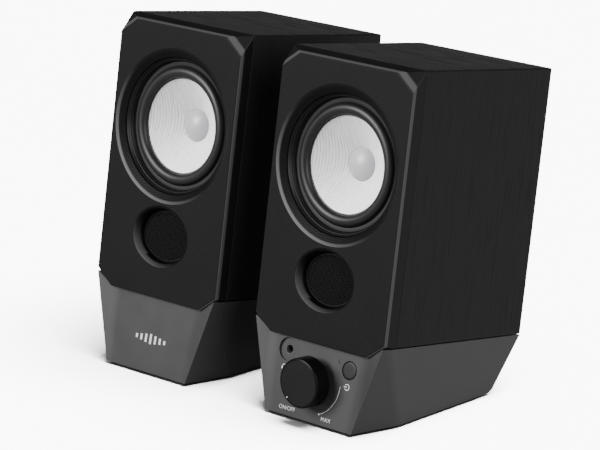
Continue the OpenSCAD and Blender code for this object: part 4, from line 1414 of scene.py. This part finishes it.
def buildStage():
    stage = {"floor": 8.0, "seen": 0.9, "bounced": 0.10, "room": 0.08}
    bm = bmesh.new()
    bmesh.ops.create_grid(bm, x_segments=1, y_segments=1, size=stage["floor"])
    floor = newObject("floor", bm)
    paper, tree, shader = startMaterial("palePaper", Roughness=0.7, Specular_IOR_Level=0.1)
    skin = placeGroup(tree, speckleGroup, objectCoords(tree), Fine=300.0, Cloud=3.0)
    seen = tint(tree, skin.outputs["Clouds"], (stage["seen"] - 0.02,) * 3, (stage["seen"] + 0.02,) * 3)
    ray = addNode(tree, "ShaderNodeLightPath")
    mix = addNode(tree, "ShaderNodeMix", data_type="RGBA")
    mix.inputs[6].default_value = (*(stage["bounced"],) * 3, 1)
    join(tree, (ray.outputs["Is Camera Ray"], mix.inputs[0]), (seen, mix.inputs[7]), (mix.outputs[2], shader.inputs["Base Color"]))
    floor.data.materials.append(paper)

    world = bpy.data.worlds.new("studio")
    bpy.context.scene.world = world
    world.use_nodes = True
    world.node_tree.nodes["Background"].inputs["Color"].default_value = (1, 1, 1, 1)
    world.node_tree.nodes["Background"].inputs["Strength"].default_value = stage["room"]
    return floor


def addLight(name, toward, distance, size, power):
    light = bpy.data.lights.new(name, "AREA")
    light.shape = "SQUARE"
    light.size = size
    light.energy = power
    thing = bpy.data.objects.new(name, light)
    middle = Vector((0, 0, 0.1))
    thing.location = middle + Vector(toward).normalized() * distance
    thing.rotation_euler = Vector(toward).to_track_quat("Z", "Y").to_euler()
    bpy.context.collection.objects.link(thing)
    return thing


def linkLight(thing, floor, state):
    listed = bpy.data.collections.new(thing.name + "_reach")
    listed.objects.link(floor)
    listed.collection_objects[0].light_linking.link_state = state
    thing.light_linking.receiver_collection = listed


def lightFloor(floor):
    # An overhead wash that only reaches the paper, with a weak one in its shadows
    wash = bpy.data.lights.new("paper_wash", "SUN")
    wash.energy = 36
    wash.angle = math.radians(42)
    thing = bpy.data.objects.new("paper_wash", wash)
    thing.rotation_euler = (math.radians(-8), math.radians(16), 0)
    bpy.context.collection.objects.link(thing)
    linkLight(thing, floor, "INCLUDE")
    haze = bpy.data.lights.new("paper_haze", "SUN")
    haze.energy = 1.3
    haze.angle = math.radians(120)
    dim = bpy.data.objects.new("paper_haze", haze)
    bpy.context.collection.objects.link(dim)
    linkLight(dim, floor, "INCLUDE")


def addCamera():
    view = {"place": (1.3010, -1.4280, 0.6557), "forward": (-0.6480, 0.7089, -0.2786), "lens": 195.0}
    forward = Vector(view["forward"]).normalized()
    side = forward.cross(Vector((0, 0, 1))).normalized()
    up = side.cross(forward)
    camera = bpy.data.cameras.new("camera")
    camera.lens = view["lens"]
    camera.sensor_width = 36.0
    thing = bpy.data.objects.new("camera", camera)
    turned = Matrix((side, up, -forward)).transposed().to_4x4()
    turned.translation = Vector(view["place"])
    thing.matrix_world = turned
    bpy.context.collection.objects.link(thing)
    bpy.context.scene.camera = thing


paperFloor = buildStage()
lightFloor(paperFloor)
for lamp in (addLight("soft_key", (-0.35, -0.80, 0.48), 3.0, 1.6, 300), addLight("side_fill", (0.85, -0.15, 0.45), 2.6, 1.8, 125)):
    linkLight(lamp, paperFloor, "EXCLUDE")
addCamera()
print("stage set")
